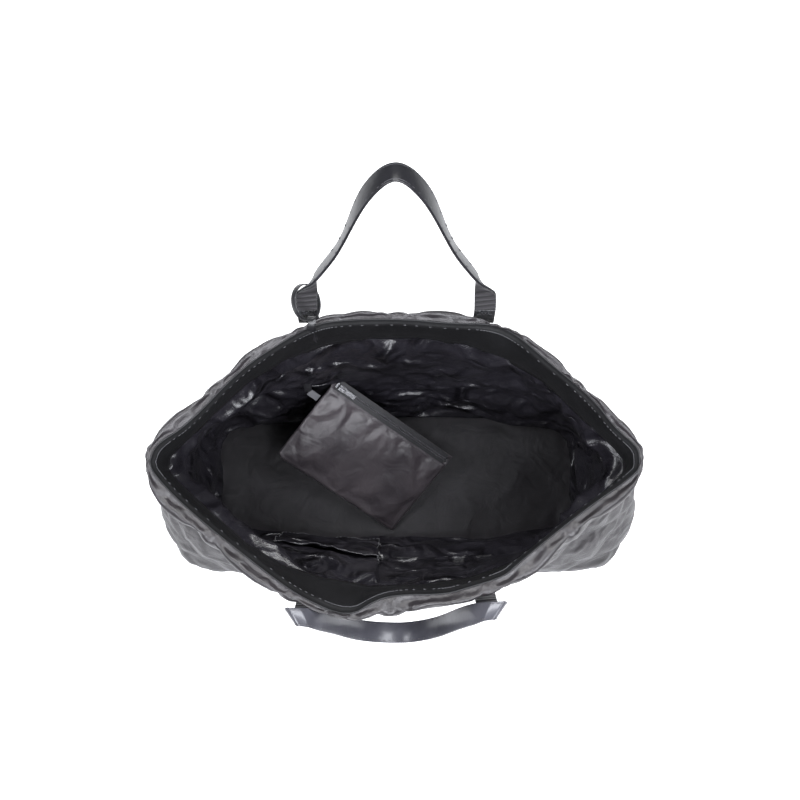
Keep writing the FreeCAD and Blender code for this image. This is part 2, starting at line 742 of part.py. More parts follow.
def build_pockets():
    """Zip pocket behind the front lining and slip pocket on its face."""
    wall = front_wall_frame()
    centre = FreeCAD.Vector(-size("pocket_zip_centre"), 0, 0)
    frame = wall.multiply(FreeCAD.Placement(centre, FreeCAD.Rotation()))
    slider_at = (size("slider_length") - size("pocket_zip_length")) / 2 + size("pocket_slider_rest")
    build_zip("pocket", frame, "pocket_zip_length", slider_at, 1)
    half_length = size("pocket_zip_length") / 2
    slider_back = size("coil_thickness") / 2 + size("slider_clearance") + size("slider_plate")
    bag_front = -slider_back - size("pocket_bag_gap")
    bag_corner = FreeCAD.Vector(-half_length, -size("pocket_depth"),
                                bag_front - size("pocket_thickness"))
    SUB_PARTS.append(part_box("zip_pocket_bag", frame, bag_corner, "Sizes.pocket_zip_length",
                              "Sizes.pocket_depth + Sizes.tape_width", "Sizes.pocket_thickness"))
    face = size("lining_outer") + size("layer_gap") + size("tape_thickness") / 2
    slip_corner = FreeCAD.Vector(size("slip_pocket_side"),
                                 size("slip_pocket_bottom") - size("pocket_zip_height"),
                                 face + size("layer_gap"))
    SUB_PARTS.append(part_box("slip_pocket_panel", wall, slip_corner, "Sizes.slip_pocket_width",
                              "Sizes.slip_pocket_height", "Sizes.slip_pocket_thickness"))


# --------------------------------------------------------------------------------------- output


def check_document():
    """Stop before writing if any object failed or any sub-part is not a valid solid."""
    doc.recompute()
    for item in doc.Objects:
        if "Invalid" in item.State or "Error" in item.State:
            raise RuntimeError("%s did not recompute: %s" % (item.Label, item.State))
    for piece in SUB_PARTS:
        shape = piece.Shape
        if shape.isNull() or not shape.isValid() or not shape.Solids:
            raise RuntimeError("%s is not a valid solid" % piece.Label)


build_walls()
build_base()
build_feet()
build_back_handle()
build_front_handle()
build_tether_loop()
build_tether()
build_pouch()
build_pockets()
check_document()
for sub_part in SUB_PARTS:
    sub_part.Shape.exportStep(os.path.join("parts", sub_part.Label + ".step"))
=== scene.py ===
import json
import math

import bmesh
import bpy
import numpy as np
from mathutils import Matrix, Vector, noise


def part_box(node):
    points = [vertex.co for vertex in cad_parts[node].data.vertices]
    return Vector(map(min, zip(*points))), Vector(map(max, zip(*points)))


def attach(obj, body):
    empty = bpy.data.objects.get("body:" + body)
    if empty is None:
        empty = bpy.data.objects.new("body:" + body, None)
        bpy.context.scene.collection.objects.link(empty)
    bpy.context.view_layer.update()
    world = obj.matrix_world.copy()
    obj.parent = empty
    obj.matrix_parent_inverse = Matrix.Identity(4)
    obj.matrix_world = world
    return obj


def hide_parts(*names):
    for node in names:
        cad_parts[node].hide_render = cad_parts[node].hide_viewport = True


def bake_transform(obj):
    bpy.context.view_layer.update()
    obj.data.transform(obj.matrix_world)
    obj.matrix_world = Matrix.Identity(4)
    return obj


# Looks of the padded tote bag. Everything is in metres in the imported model's frame: +Z up, +X to the
# right side seam, +Y to the back panel. Cloth pieces are grids of points laid over the CAD walls and
# then simulated; straps, zips and stitches are swept or repeated shapes.

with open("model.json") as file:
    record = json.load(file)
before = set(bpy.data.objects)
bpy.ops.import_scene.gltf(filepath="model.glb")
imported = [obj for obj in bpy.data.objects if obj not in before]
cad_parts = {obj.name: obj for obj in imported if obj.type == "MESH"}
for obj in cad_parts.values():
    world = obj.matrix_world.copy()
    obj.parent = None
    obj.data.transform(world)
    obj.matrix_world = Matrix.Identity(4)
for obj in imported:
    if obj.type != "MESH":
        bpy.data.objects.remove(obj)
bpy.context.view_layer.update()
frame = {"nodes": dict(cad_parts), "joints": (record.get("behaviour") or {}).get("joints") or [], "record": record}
MM = 0.001

# ------------------------------------------------------------------------------ places from the CAD

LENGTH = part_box("facing_front")[1].x
FRONT = -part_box("facing_front")[0].y
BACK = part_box("facing_back")[1].y
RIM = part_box("facing_front")[1].z
FACING_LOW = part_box("facing_front")[0].z
FLOOR_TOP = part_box("lining_base")[1].z
JOINTS = {joint["name"]: joint for joint in frame["joints"]}
BACK_PIVOT = np.array(JOINTS["back_handle_swing"]["pos_m"])
FRONT_PIVOT = np.array(JOINTS["front_handle_swing"]["pos_m"])

# ---------------------------------------------------------------------------------------- outlines

COLUMNS = 288
HALF = COLUMNS // 2

# The mouth seen from above, as shares of the CAD's half length and panel depth, each from one side
# seam to the other. The front edge waves because the front handle hangs from it.
RIM_BACK = [(0.98, 0.0), (0.975, 0.10), (0.885, 0.225), (0.795, 0.44), (0.62, 0.69), (0.49, 0.89),
            (0.395, 0.965), (0.23, 0.965), (0.02, 1.0), (-0.255, 0.99), (-0.355, 0.94),
            (-0.43, 0.87), (-0.625, 0.655), (-0.84, 0.25), (-0.97, 0.115), (-0.99, 0.0)]
RIM_FRONT = [(-0.99, 0.0), (-0.98, -0.08), (-0.84, -0.345), (-0.51, -0.815), (-0.375, -0.985),
             (-0.19, -1.13), (-0.08, -0.995), (0.02, -0.96), (0.195, -0.96), (0.28, -0.915),
             (0.435, -0.83), (0.48, -0.745), (0.75, -0.355), (0.975, -0.08), (0.98, 0.0)]
# The outer side of the padded roll round the mouth, at its stitched depth.
ROLL_BACK = [(1.0, 0.0), (0.985, 0.12), (0.84, 0.36), (0.62, 0.74), (0.39, 0.98), (0.18, 1.025),
             (0.0, 1.04), (-0.17, 1.035), (-0.32, 0.985), (-0.43, 0.90), (-0.62, 0.695),
             (-0.91, 0.26), (-1.005, 0.08), (-1.01, 0.0)]
ROLL_FRONT = [(-1.01, 0.0), (-0.985, -0.15), (-0.83, -0.46), (-0.5, -0.93), (-0.37, -1.03),
              (-0.19, -1.10), (-0.03, -1.10), (0.1, -1.06), (0.22, -1.02), (0.40, -0.95),
              (0.52, -0.80), (0.75, -0.47), (0.96, -0.16), (1.0, 0.0)]


def round_corners(points):
    """Cuts the corners of an open line twice; its ends stay."""
    for _ in range(2):
        cut = np.empty((2 * len(points) - 2, points.shape[1]))
        cut[0::2] = 0.75 * points[:-1] + 0.25 * points[1:]
        cut[1::2] = 0.25 * points[:-1] + 0.75 * points[1:]
        points = np.vstack([points[:1], cut, points[-1:]])
    return points


def evenly(points, count):
    """The same line as count points, evenly spaced along it."""
    steps = np.linalg.norm(np.diff(points, axis=0), axis=1)
    along = np.concatenate([[0.0], np.cumsum(steps)])
    wanted = np.linspace(0.0, along[-1], count)
    return np.stack([np.interp(wanted, along, points[:, k]) for k in range(points.shape[1])], 1)


def closed_loop(back, front):
    """Plan outline from the right side seam round the back to the left one, and back by the front."""
    halves = [evenly(round_corners(np.array(side)), HALF + 1)[:-1] for side in (back, front)]
    return np.vstack(halves)


def mouth_loop(back, front):
    """Outline given as shares of the mouth's size."""
    return closed_loop(np.array(back) * [LENGTH, BACK], np.array(front) * [LENGTH, FRONT])


def section(left, right, tip, flat, front, back, tucked=0):
    """Plan outline of the walls: a long octagon, in millimetres, its back corners tucked in."""
    near, far = tip - 1.5 * tucked, flat - tucked
    back_side = [(right, 0), (right, near), (far, back), (-far, back), (-left, near), (-left, 0)]
    front_side = [(-left, 0), (-left, -tip), (-flat, -front), (flat, -front), (right, -tip), (right, 0)]
    return closed_loop(np.array(back_side) * MM, np.array(front_side) * MM)


RIM_LINE = mouth_loop(RIM_BACK, RIM_FRONT)
ROLL_LINE = mouth_loop(ROLL_BACK, ROLL_FRONT)
# Sections of the outer face and of the inner face, from the floor up.
HEM_LEVEL = 0.010
OUTER_LEVELS = np.array([HEM_LEVEL, 0.060, 0.170, FACING_LOW, RIM - 0.006])
OUTER = np.array([
    section(258, 256, 62, 224, 94, 94),
    section(286, 290, 82, 243, 117, 118, tucked=20),
    section(288, 291, 55, 207, 126, 138, tucked=14),
    section(273, 273, 18, 122, 147, 156, tucked=4),
    ROLL_LINE,
])
INNER_LEVELS = np.array([FLOOR_TOP, 0.150, FACING_LOW, RIM])
INNER = np.array([
    section(248, 246, 60, 222, 88, 88),
    section(268, 268, 45, 195, 108, 133),
    section(264, 264, 12, 118, 138, 150),
    RIM_LINE,
])


def wall(levels, outlines, heights, smooth=True):
    """Points of a wall between its outlines, straight or in a smooth curve: (heights, columns, 3)."""
    slopes = np.gradient(outlines, levels, axis=0)
    rows = []
    for height in heights:
        level = min(max(height, levels[0]), levels[-1])
        k = min(int(np.searchsorted(levels, level, side="right")) - 1, len(levels) - 2)
        span = levels[k + 1] - levels[k]
        t = (level - levels[k]) / span
        plan = outlines[k] * (1 - t) + outlines[k + 1] * t
        if smooth:
            a = (1 + 2 * t) * (1 - t) ** 2
            plan = a * outlines[k] + (1 - a) * outlines[k + 1]
            plan = plan + span * (t * (1 - t) ** 2 * slopes[k] - t * t * (1 - t) * slopes[k + 1])
        rows.append(np.column_stack([plan, np.full(COLUMNS, height)]))
    return np.array(rows)


def outward(plan):
    """Horizontal unit vectors pointing out of a closed plan outline."""
    along = np.roll(plan, -2, axis=0) - np.roll(plan, 2, axis=0)
    out = np.column_stack([along[:, 1], -along[:, 0], np.zeros(len(plan))])
    return out / np.linalg.norm(out, axis=1)[:, None]


# How far apart in the noise two neighbouring seeds look.
SEED_STEP = np.array([7.3, 3.1, 5.7])


def bumps(points, size, seed):
    """Smooth noise in -1..1 at each point, with lumps of about the given size."""
    flat = points.reshape(-1, 3) / size + seed * SEED_STEP
    values = [noise.noise(Vector(point)) for point in flat]
    return np.array(values).reshape(points.shape[:-1])


# --------------------------------------------------------------------------------------- materials


def add(tree, kind, inputs=None, **settings):
    """A shader node; an input is a value or another node's output."""
    made = tree.nodes.new("ShaderNode" + kind)
    for name, value in settings.items():
        setattr(made, name, value)
    for name, value in (inputs or {}).items():
        if isinstance(value, bpy.types.NodeSocket):
            tree.links.new(value, made.inputs[name])
        else:
            made.inputs[name].default_value = value
    return made


def new_material(name):
    """Empty material with a principled shader; returns both."""
    material = bpy.data.materials.new(name)
    material.use_nodes = True
    return material, material.node_tree.nodes["Principled BSDF"]


def varied(tree, where, size, dark, light):
    """Colour that drifts between two tones in patches of the given size."""
    patches = add(tree, "TexNoise", {"Vector": where, "Scale": 1 / size, "Detail": 4.0})
    ramp = add(tree, "ValToRGB", {"Fac": patches.outputs["Fac"]})
    ramp.color_ramp.elements[0].position = 0.35
    ramp.color_ramp.elements[1].position = 0.65
    ramp.color_ramp.elements[0].color = (*dark, 1)
    ramp.color_ramp.elements[1].color = (*light, 1)
    return ramp.outputs["Color"]


def bump(tree, height, strength, distance, under=None):
    """Surface normal with bumps of the given height, laid over other bumps."""
    inputs = {"Height": height, "Strength": strength, "Distance": distance}
    if under is not None:
        inputs["Normal"] = under
    return add(tree, "Bump", inputs).outputs["Normal"]


def varied_roughness(tree, shader, pattern, low, high):
    """Roughness that follows a pattern between two values."""
    gloss = add(tree, "MapRange", {"Value": pattern, "To Min": low, "To Max": high})
    tree.links.new(gloss.outputs["Result"], shader.inputs["Roughness"])


# A wave texture repeats about every 0.314 units at scale 1.
WAVE_LENGTH = 0.314


def weave_height(tree, uv, pitch):
    """Height of a plain weave with threads of the given pitch, from the cloth's own UV in metres."""
    waves = []
    for direction in ("X", "Y"):
        wave = add(tree, "TexWave", {"Vector": uv, "Scale": WAVE_LENGTH / pitch, "Distortion": 0.6},
                   bands_direction=direction)
        waves.append(wave.outputs["Fac"])
    return add(tree, "Math", {0: waves[0], 1: waves[1]}, operation="MULTIPLY").outputs[0]


def cloth_material(name, dark, light, roughness, pitch, crease, sheen, ridge=0.0, specular=0.5):
    """Woven cloth: thread weave, sharp and soft creases, patches of colour and a varying gloss."""
    material, shader = new_material(name)
    tree = material.node_tree
    coords = add(tree, "TexCoord")
    where = coords.outputs["Object"]
    tree.links.new(varied(tree, where, 0.05, dark, light), shader.inputs["Base Color"])
    wandering = {"Vector": where, "Roughness": 0.5, "Distortion": 1.2}
    creases = add(tree, "TexNoise", {**wandering, "Scale": 32.0, "Detail": 2.5}).outputs["Fac"]
    folds = add(tree, "TexNoise", {**wandering, "Scale": 17.0, "Detail": 2.0},
                noise_type="RIDGED_MULTIFRACTAL").outputs["Fac"]
    sharp = bump(tree, folds, strength=1.0, distance=ridge)
    fine = bump(tree, creases, strength=crease, distance=0.004, under=sharp)
    weave = weave_height(tree, coords.outputs["UV"], pitch)
    threads = bump(tree, weave, strength=0.25, distance=0.0003, under=fine)
    tree.links.new(threads, shader.inputs["Normal"])
    varied_roughness(tree, shader, creases, roughness - 0.06, roughness + 0.08)
    shader.inputs["Sheen Weight"].default_value = sheen
    shader.inputs["Sheen Roughness"].default_value = 0.4
    shader.inputs["Specular IOR Level"].default_value = specular
    return material


def leather_material(name, dark, light, roughness, coat, grain=0.5):
    """Leather-look plastic: pebbled grain, soft dents, and a painted highlight that lightens its convex edges."""
    material, shader = new_material(name)
    tree = material.node_tree
    where = add(tree, "TexCoord").outputs["Object"]
    # Convex edges are painted up to three times the light tone, as a painted highlight along them.
    edge_pointiness = add(tree, "NewGeometry").outputs["Pointiness"]
    edge = add(tree, "MapRange", {"Value": edge_pointiness, "From Min": 0.52, "From Max": 0.62})
    base = varied(tree, where, 0.03, dark, light)
    painted_edge_highlight = add(tree, "MixRGB", {"Fac": edge.outputs["Result"], "Color1": base,
                                "Color2": (*(3 * c for c in light), 1)})
    tree.links.new(painted_edge_highlight.outputs["Color"], shader.inputs["Base Color"])
    cells = add(tree, "TexVoronoi", {"Vector": where, "Scale": 1400.0, "Randomness": 0.9})
    dents = add(tree, "TexNoise", {"Vector": where, "Scale": 60.0, "Detail": 3.0})
    soft = bump(tree, dents.outputs["Fac"], strength=0.3, distance=0.002)
    pebbles = bump(tree, cells.outputs["Distance"], strength=grain, distance=0.0002, under=soft)
    tree.links.new(pebbles, shader.inputs["Normal"])
    shader.inputs["Roughness"].default_value = roughness
    shader.inputs["Coat Weight"].default_value = coat
    shader.inputs["Coat Roughness"].default_value = 0.2
    return material


def webbing_material(name, color):
    """Webbing with diagonal ribs, with painted shade in the grooves between them and painted light on the ribs."""
    material, shader = new_material(name)
    tree = material.node_tree
    coords = add(tree, "TexCoord")
    ribs = add(tree, "TexWave", {"Vector": coords.outputs["UV"], "Scale": 95.0, "Distortion": 0.3},
               bands_direction="DIAGONAL")
    relief = bump(tree, ribs.outputs["Fac"], strength=0.8, distance=0.0008)
    tree.links.new(relief, shader.inputs["Normal"])
    # Painted shade in the rib grooves and painted light on the rib tops, from the same wave as the ribs' bumps.
    painted_rib_shade = add(tree, "ValToRGB", {"Fac": ribs.outputs["Fac"]})
    painted_rib_shade.color_ramp.elements[0].color = (*(0.45 * c for c in color), 1)
    painted_rib_shade.color_ramp.elements[1].color = (*(1.6 * c for c in color), 1)
    tree.links.new(painted_rib_shade.outputs["Color"], shader.inputs["Base Color"])
    shader.inputs["Roughness"].default_value = 0.55
    shader.inputs["Sheen Weight"].default_value = 0.3
    return material


def metal_material(name):
    """Bright plated zip metal with fine brushing and small dents."""
    material, shader = new_material(name)
    tree = material.node_tree
    where = add(tree, "TexCoord").outputs["Object"]
    scratches = add(tree, "TexNoise", {"Vector": where, "Scale": 900.0, "Detail": 6.0}).outputs["Fac"]
    relief = bump(tree, scratches, strength=0.15, distance=0.0002)
    tree.links.new(relief, shader.inputs["Normal"])
    varied_roughness(tree, shader, scratches, 0.12, 0.3)
    shader.inputs["Base Color"].default_value = (0.50, 0.50, 0.52, 1)
    shader.inputs["Metallic"].default_value = 1.0
    return material


QUILT_CLOTH = cloth_material("quilted_nylon", (0.019, 0.0165, 0.0185), (0.033, 0.029, 0.0325),
                             roughness=0.38, pitch=0.0007, crease=0.7, sheen=0.02, ridge=0.003,
                             specular=0.8)
LINING_CLOTH = cloth_material("lining_satin", (0.013, 0.012, 0.0155), (0.021, 0.0195, 0.025),
                              roughness=0.22, pitch=0.0005, crease=0.20, sheen=0.0, ridge=0.028,
                              specular=1.0)
BASE_CLOTH = cloth_material("base_satin", (0.010, 0.0085, 0.0105), (0.016, 0.014, 0.017),
                            roughness=0.46, pitch=0.0005, crease=0.30, sheen=0.0, ridge=0.002,
                            specular=0.35)
POUCH_CLOTH = cloth_material("pouch_nylon", (0.038, 0.032, 0.037), (0.066, 0.056, 0.062),
                             roughness=0.36, pitch=0.0006, crease=0.4, sheen=0.03, ridge=0.003,
                             specular=0.7)
TAPE_CLOTH = cloth_material("zip_tape", (0.016, 0.016, 0.018), (0.024, 0.024, 0.026),
                            roughness=0.60, pitch=0.0009, crease=0.1, sheen=0.30)
# Thread in a dark grey of its own, set slightly lighter than the cloth as a painted highlight on the stitches.
THREAD = cloth_material("thread", (0.050, 0.050, 0.056), (0.080, 0.080, 0.088),
                        roughness=0.45, pitch=0.0004, crease=0.1, sheen=0.3)
FACING_LEATHER = leather_material("facing_leather", (0.0055, 0.0055, 0.0062),
                                  (0.0090, 0.0090, 0.0100), roughness=0.55, coat=0.0)
STRAP_LEATHER = leather_material("strap_leather", (0.013, 0.013, 0.0155), (0.020, 0.020, 0.024),
                                 roughness=0.30, coat=0.12, grain=0.25)
# Same leather as the other straps, painted several times lighter on the front strap's face to stand in for the
# light it reflects.
LIT_STRAP_LEATHER = leather_material("front_strap_leather", (0.060, 0.060, 0.072),
                                 (0.085, 0.085, 0.100), roughness=0.30, coat=0.5, grain=0.2)
TETHER_LEATHER = leather_material("tether_leather", (0.016, 0.016, 0.018), (0.024, 0.024, 0.027),
                                  roughness=0.34, coat=0.3)
COIL_PLASTIC = leather_material("zip_coil", (0.018, 0.018, 0.020), (0.026, 0.026, 0.029),
                                roughness=0.3, coat=0.3)
WEBBING = webbing_material("webbing", (0.020, 0.018, 0.021))
METAL = metal_material("zip_metal")

# ------------------------------------------------------------------------------------------ meshes


def mesh_object(name, points, faces, material, uv=None):
    """Smooth-shaded mesh; uv holds one pair for each face corner."""
    mesh = bpy.data.meshes.new(name)
    mesh.from_pydata([tuple(point) for point in points], [], [tuple(face) for face in faces])
    mesh.polygons.foreach_set("use_smooth", np.ones(len(mesh.polygons), bool))
    if uv is not None:
        layer = mesh.uv_layers.new(name="cloth")
        layer.data.foreach_set("uv", np.asarray(uv, np.float32).ravel())
    mesh.materials.append(material)
    mesh.update()
    made = bpy.data.objects.new(name, mesh)
    bpy.context.scene.collection.objects.link(made)
    return made


def place(piece, body, slot, *nodes):
    """Fixes a piece to its body and hides the CAD nodes it stands in for; the slot is not used."""
    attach(piece, body)
    if nodes:
        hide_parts(*nodes)


def grid_faces(rows, columns, closed, flip):
    """Quads over a grid of points, row by row."""
    across = columns if closed else columns - 1
    i, j = np.meshgrid(np.arange(rows - 1), np.arange(across), indexing="ij")
    after = (j + 1) % columns
    quads = np.stack([i * columns + j, i * columns + after, (i + 1) * columns + after,
                      (i + 1) * columns + j], -1).reshape(-1, 4)
    corner = np.stack([np.stack([i, j], -1), np.stack([i, j + 1], -1),
                       np.stack([i + 1, j + 1], -1), np.stack([i + 1, j], -1)], 2)
    corner = corner.reshape(-1, 4, 2)
    if flip:
        return quads[:, ::-1], corner[:, ::-1]
    return quads, corner


def grid_object(name, points, material, closed=False, flip=False):
    """Sheet of cloth over a (rows, columns, 3) grid, with UVs that measure metres of cloth."""
    rows, columns = points.shape[:2]
    quads, corner = grid_faces(rows, columns, closed, flip)
    middle = points[rows // 2]
    ring = np.vstack([middle, middle[:1]])
    across = np.concatenate([[0], np.cumsum(np.linalg.norm(np.diff(ring, axis=0), axis=1))])
    column = points[:, columns // 4]
    down = np.concatenate([[0], np.cumsum(np.linalg.norm(np.diff(column, axis=0), axis=1))])
    uv = np.stack([across[corner[..., 1]], down[corner[..., 0]]], -1)
    return mesh_object(name, points.reshape(-1, 3), quads, material, uv)


def read_points(piece):
    """Vertex positions as an array."""
    values = np.empty(len(piece.data.vertices) * 3, np.float32)
    piece.data.vertices.foreach_get("co", values)
    return values.reshape(-1, 3).astype(float)


def write_points(piece, points):
    """Moves the vertices of a piece of our own."""
    piece.data.vertices.foreach_set("co", points.astype(np.float32).ravel())
    piece.data.update()


def unit(vectors):
    """The same vectors, each one metre long."""
    return vectors / np.maximum(np.linalg.norm(vectors, axis=-1, keepdims=True), 1e-12)


def thicken(piece, thickness, smooth=1, offset=-1.0):
    """Gives a sheet its cloth thickness, behind its face, and one level of subdivision."""
    if thickness:
        solid = piece.modifiers.new("thickness", "SOLIDIFY")
        solid.thickness = thickness
        solid.offset = offset
    if smooth:
        subdivision = piece.modifiers.new("smooth", "SUBSURF")
        subdivision.levels = smooth
        subdivision.render_levels = smooth


SPLINE_STEPS = 24


def spline(points, first, last, count):
    """Smooth curve through points with given end directions, as evenly spaced points."""
    points = np.array(points, float)
    chords = np.linalg.norm(np.diff(points, axis=0), axis=1)
    size = len(points)
    matrix = np.zeros((size, size))
    right = np.zeros((size, 3))
    matrix[0, 0] = matrix[-1, -1] = 1.0
    right[0] = unit(np.array(first, float))
    right[-1] = unit(np.array(last, float))
    for k in range(1, size - 1):
        before, after = chords[k - 1], chords[k]
        matrix[k, k - 1:k + 2] = after, 2 * (before + after), before
        right[k] = 3 * (after * (points[k] - points[k - 1]) / before
                        + before * (points[k + 1] - points[k]) / after)
    slopes = np.linalg.solve(matrix, right)
    fine = []
    for k in range(size - 1):
        for t in np.linspace(0, 1, SPLINE_STEPS, endpoint=False):
            a, b = (1 + 2 * t) * (1 - t) ** 2, t * t * (3 - 2 * t)
            c, d = chords[k] * t * (1 - t) ** 2, -chords[k] * t * t * (1 - t)
            fine.append(a * points[k] + b * points[k + 1] + c * slopes[k] + d * slopes[k + 1])
    fine.append(points[-1])
    return evenly(np.array(fine), count)


def soften(values, width):
    """Running average of rows of values, whose ends stay."""
    kernel = np.hanning(2 * width + 3)[1:-1]
    kernel = kernel / kernel.sum()
    padded = np.vstack([np.repeat(values[:1], width, 0), values, np.repeat(values[-1:], width, 0)])
    return np.stack([np.convolve(padded[:, k], kernel, "valid") for k in range(values.shape[1])], 1)


def tangents(path, closed=False):
    """Unit directions along a path."""
    if closed:
        return unit(np.roll(path, -1, axis=0) - np.roll(path, 1, axis=0))
    return unit(np.gradient(path, axis=0))


CORD_SIDES = 8
EDGE_STEPS = 3
STITCH_SIDES = 6


def circle(radius):
    """Outline of a round cord's cross-section."""
    angles = np.arange(CORD_SIDES) * 2 * math.pi / CORD_SIDES
    return radius * np.stack([np.cos(angles), np.sin(angles)], 1)


def rounded_section(width, thickness):
    """Outline of a strap's cross-section with rounded edges."""
    radius = min(width, thickness) * 0.49
    corners = [(1, 1, 0), (-1, 1, 90), (-1, -1, 180), (1, -1, 270)]
    outline = []
    for side, up, start in corners:
        for k in range(EDGE_STEPS + 1):
            angle = math.radians(start + 90 * k / EDGE_STEPS)
            outline.append((side * (width / 2 - radius) + radius * math.cos(angle),
                            up * (thickness / 2 - radius) + radius * math.sin(angle)))
    return np.array(outline)


def sweep(name, path, normals, outline, material, closed=False, shift=0.0, rungs=None):
    """Solid swept along a path; the outline's first axis follows the rungs, if they are given, and
    its second axis the face normals, along which the solid may be shifted."""
    along = tangents(path, closed)
    across = unit(np.cross(along, normals)) if rungs is None else rungs
    upward = unit(np.cross(across, along))
    centre = path + upward * shift
    rings = (centre[:, None] + outline[None, :, :1] * across[:, None]
             + outline[None, :, 1:] * upward[:, None])
    count, size = rings.shape[:2]
    faces = []
    for i in range(count if closed else count - 1):
        following = (i + 1) % count
        for j in range(size):
            after = (j + 1) % size
            faces.append((i * size + j, i * size + after, following * size + after,
                          following * size + j))
    lengths = np.concatenate([[0], np.cumsum(np.linalg.norm(np.diff(path, axis=0), axis=1))])
    around = np.linspace(0, 2 * (np.ptp(outline[:, 0]) + np.ptp(outline[:, 1])), size + 1)
    uv = []
    for i in range(count if closed else count - 1):
        end = lengths[i + 1] if i + 1 < count else lengths[i] + 0.001
        for j in range(size):
            uv += [(lengths[i], around[j]), (lengths[i], around[j + 1]), (end, around[j + 1]),
                   (end, around[j])]
    if not closed:
        faces.append(tuple(range(size - 1, -1, -1)))
        faces.append(tuple((count - 1) * size + j for j in range(size)))
        uv += [(0.0, 0.0)] * (2 * size)
    return mesh_object(name, rings.reshape(-1, 3), faces, material, uv)


def bead_faces(count, stations, sides):
    """Faces of a row of closed beads, each a number of rings of points."""
    faces = []
    for first in range(0, count * stations * sides, stations * sides):
        last = first + (stations - 1) * sides
        for low in range(first, last, sides):
            for k in range(sides):
                after = (k + 1) % sides
                faces.append((low + k, low + after, low + sides + after, low + sides + k))
        faces.append(tuple(first + k for k in range(sides))[::-1])
        faces.append(tuple(last + k for k in range(sides)))
    return faces


# Rings of one stitch along its length: place, swell and lift as shares of its length and radius.
STITCH_RINGS = ((-0.5, 0.35, -0.8), (-0.35, 1.0, 0.2), (0.35, 1.0, 0.2), (0.5, 0.35, -0.8))


def stitches(name, path, normals, pitch=0.0042, length=0.0030, radius=0.00035, closed=False):
    """Row of thread stitches lying on a surface along a path."""
    if closed:
        path = np.vstack([path, path[:1]])
        normals = np.vstack([normals, normals[:1]])
    total = np.linalg.norm(np.diff(path, axis=0), axis=1).sum()
    count = max(3, int(total / pitch))
    both = evenly(np.hstack([path, normals]), count + 1)
    middle = (both[:-1] + both[1:]) / 2
    along = unit(both[1:, :3] - both[:-1, :3])
    up = unit(middle[:, 3:])
    side = unit(np.cross(along, up))
    rings = []
    for share, swell, lift in STITCH_RINGS:
        for k in range(STITCH_SIDES):
            angle = 2 * math.pi * k / STITCH_SIDES
            rings.append(middle[:, :3] + along * (share * length)
                         + side * (radius * swell * math.cos(angle))
                         + up * (radius * (lift + swell * math.sin(angle))))
    points = np.stack(rings, 1).reshape(-1, 3)
    faces = bead_faces(len(middle), len(STITCH_RINGS), STITCH_SIDES)
    return mesh_object(name, points, faces, THREAD)


# -------------------------------------------------------------------------------- cloth simulation


def simulate(piece, pinned, frames, slack, pressure=0.0, gravity=0.0, bending=0.3):
    """Runs the cloth solver on a sheet whose pinned points hold still, and returns the moved points.
    The cloth is longer than the sheet by the slack, so it folds or swells."""
    group = piece.vertex_groups.new(name="pins")
    group.add([int(k) for k in np.flatnonzero(pinned)], 1.0, "REPLACE")
    modifier = piece.modifiers.new("cloth", "CLOTH")
    settings = modifier.settings
    settings.quality = 4
    settings.mass = 0.15
    settings.air_damping = 2.0
    settings.tension_stiffness = 15
    settings.compression_stiffness = 15
    settings.shear_stiffness = 4
    settings.bending_stiffness = bending
    settings.vertex_group_mass = "pins"
    settings.pin_stiffness = 1.0
    settings.shrink_min = -slack
    settings.use_pressure = pressure != 0
    settings.uniform_pressure_force = pressure
    settings.effector_weights.gravity = gravity
    modifier.collision_settings.use_collision = False
    modifier.point_cache.frame_start = 1
    modifier.point_cache.frame_end = frames
    scene = bpy.context.scene
    for number in range(1, frames + 1):
        scene.frame_set(number)
    evaluated = piece.evaluated_get(bpy.context.evaluated_depsgraph_get())
    values = np.empty(len(piece.data.vertices) * 3, np.float32)
    evaluated.data.vertices.foreach_get("co", values)
    piece.modifiers.remove(modifier)
    piece.vertex_groups.clear()
    scene.frame_set(1)
    return values.reshape(-1, 3).astype(float)


def held(rest, moved, inward, cap, behind):
    """Keeps a simulated sheet near its wall: at most cap away from rest, and only behind outside it."""
    shift = moved - rest
    far = np.linalg.norm(shift, axis=-1, keepdims=True)
    shift = shift * (cap * np.tanh(far / cap) / np.maximum(far, 1e-9))
    depth = (shift * inward).sum(-1, keepdims=True)
    return rest + shift + inward * (np.maximum(depth, -behind) - depth)


# --------------------------------------------------------------------------------- quilted outer shell

# Columns of the grid across one diamond, and how far its middle stands out.
DIAMOND = 24
PUFF = 0.0075
SWELL_LIMIT = 0.007
GROOVE = 0.0016
WALL_ROWS = 73
# The roll round the mouth meets the wall here.
ROLL_END = RIM - 0.004
# The cloth lies flat under a handle's foot, and for this far beside and below it.
FLAT_BESIDE = 0.014
FLAT_BELOW = 0.012
# The lower edge is tucked in under the base.
HEM_INSET = 0.006
HEM_HEIGHT = 0.0045
LOWEST = 0.0035
# The roll round the mouth, from the rim seam outward: shares of its width and of its lift.
ROLL_STEPS = [(0.08, -0.3), (0.22, 0.75), (0.5, 1.0), (0.8, 0.75), (0.97, 0.25)]
ROLL_LIFT = 0.0035


def shell_points():
    """The padded wall at its stitched depth, from the rim seam over the roll and down to the base."""
    rows = []
    for share, lift in ROLL_STEPS:
        plan = RIM_LINE * (1 - share) + ROLL_LINE * share
        rows.append(np.column_stack([plan, np.full(COLUMNS, RIM + lift * ROLL_LIFT)]))
    heights = np.linspace(ROLL_END, HEM_LEVEL, WALL_ROWS)
    points = np.concatenate([np.array(rows), wall(OUTER_LEVELS, OUTER, heights)])
    tucked = points[-1] - outward(points[-1][:, :2]) * HEM_INSET
    tucked[:, 2] = HEM_HEIGHT
    return np.concatenate([points, tucked[None]])


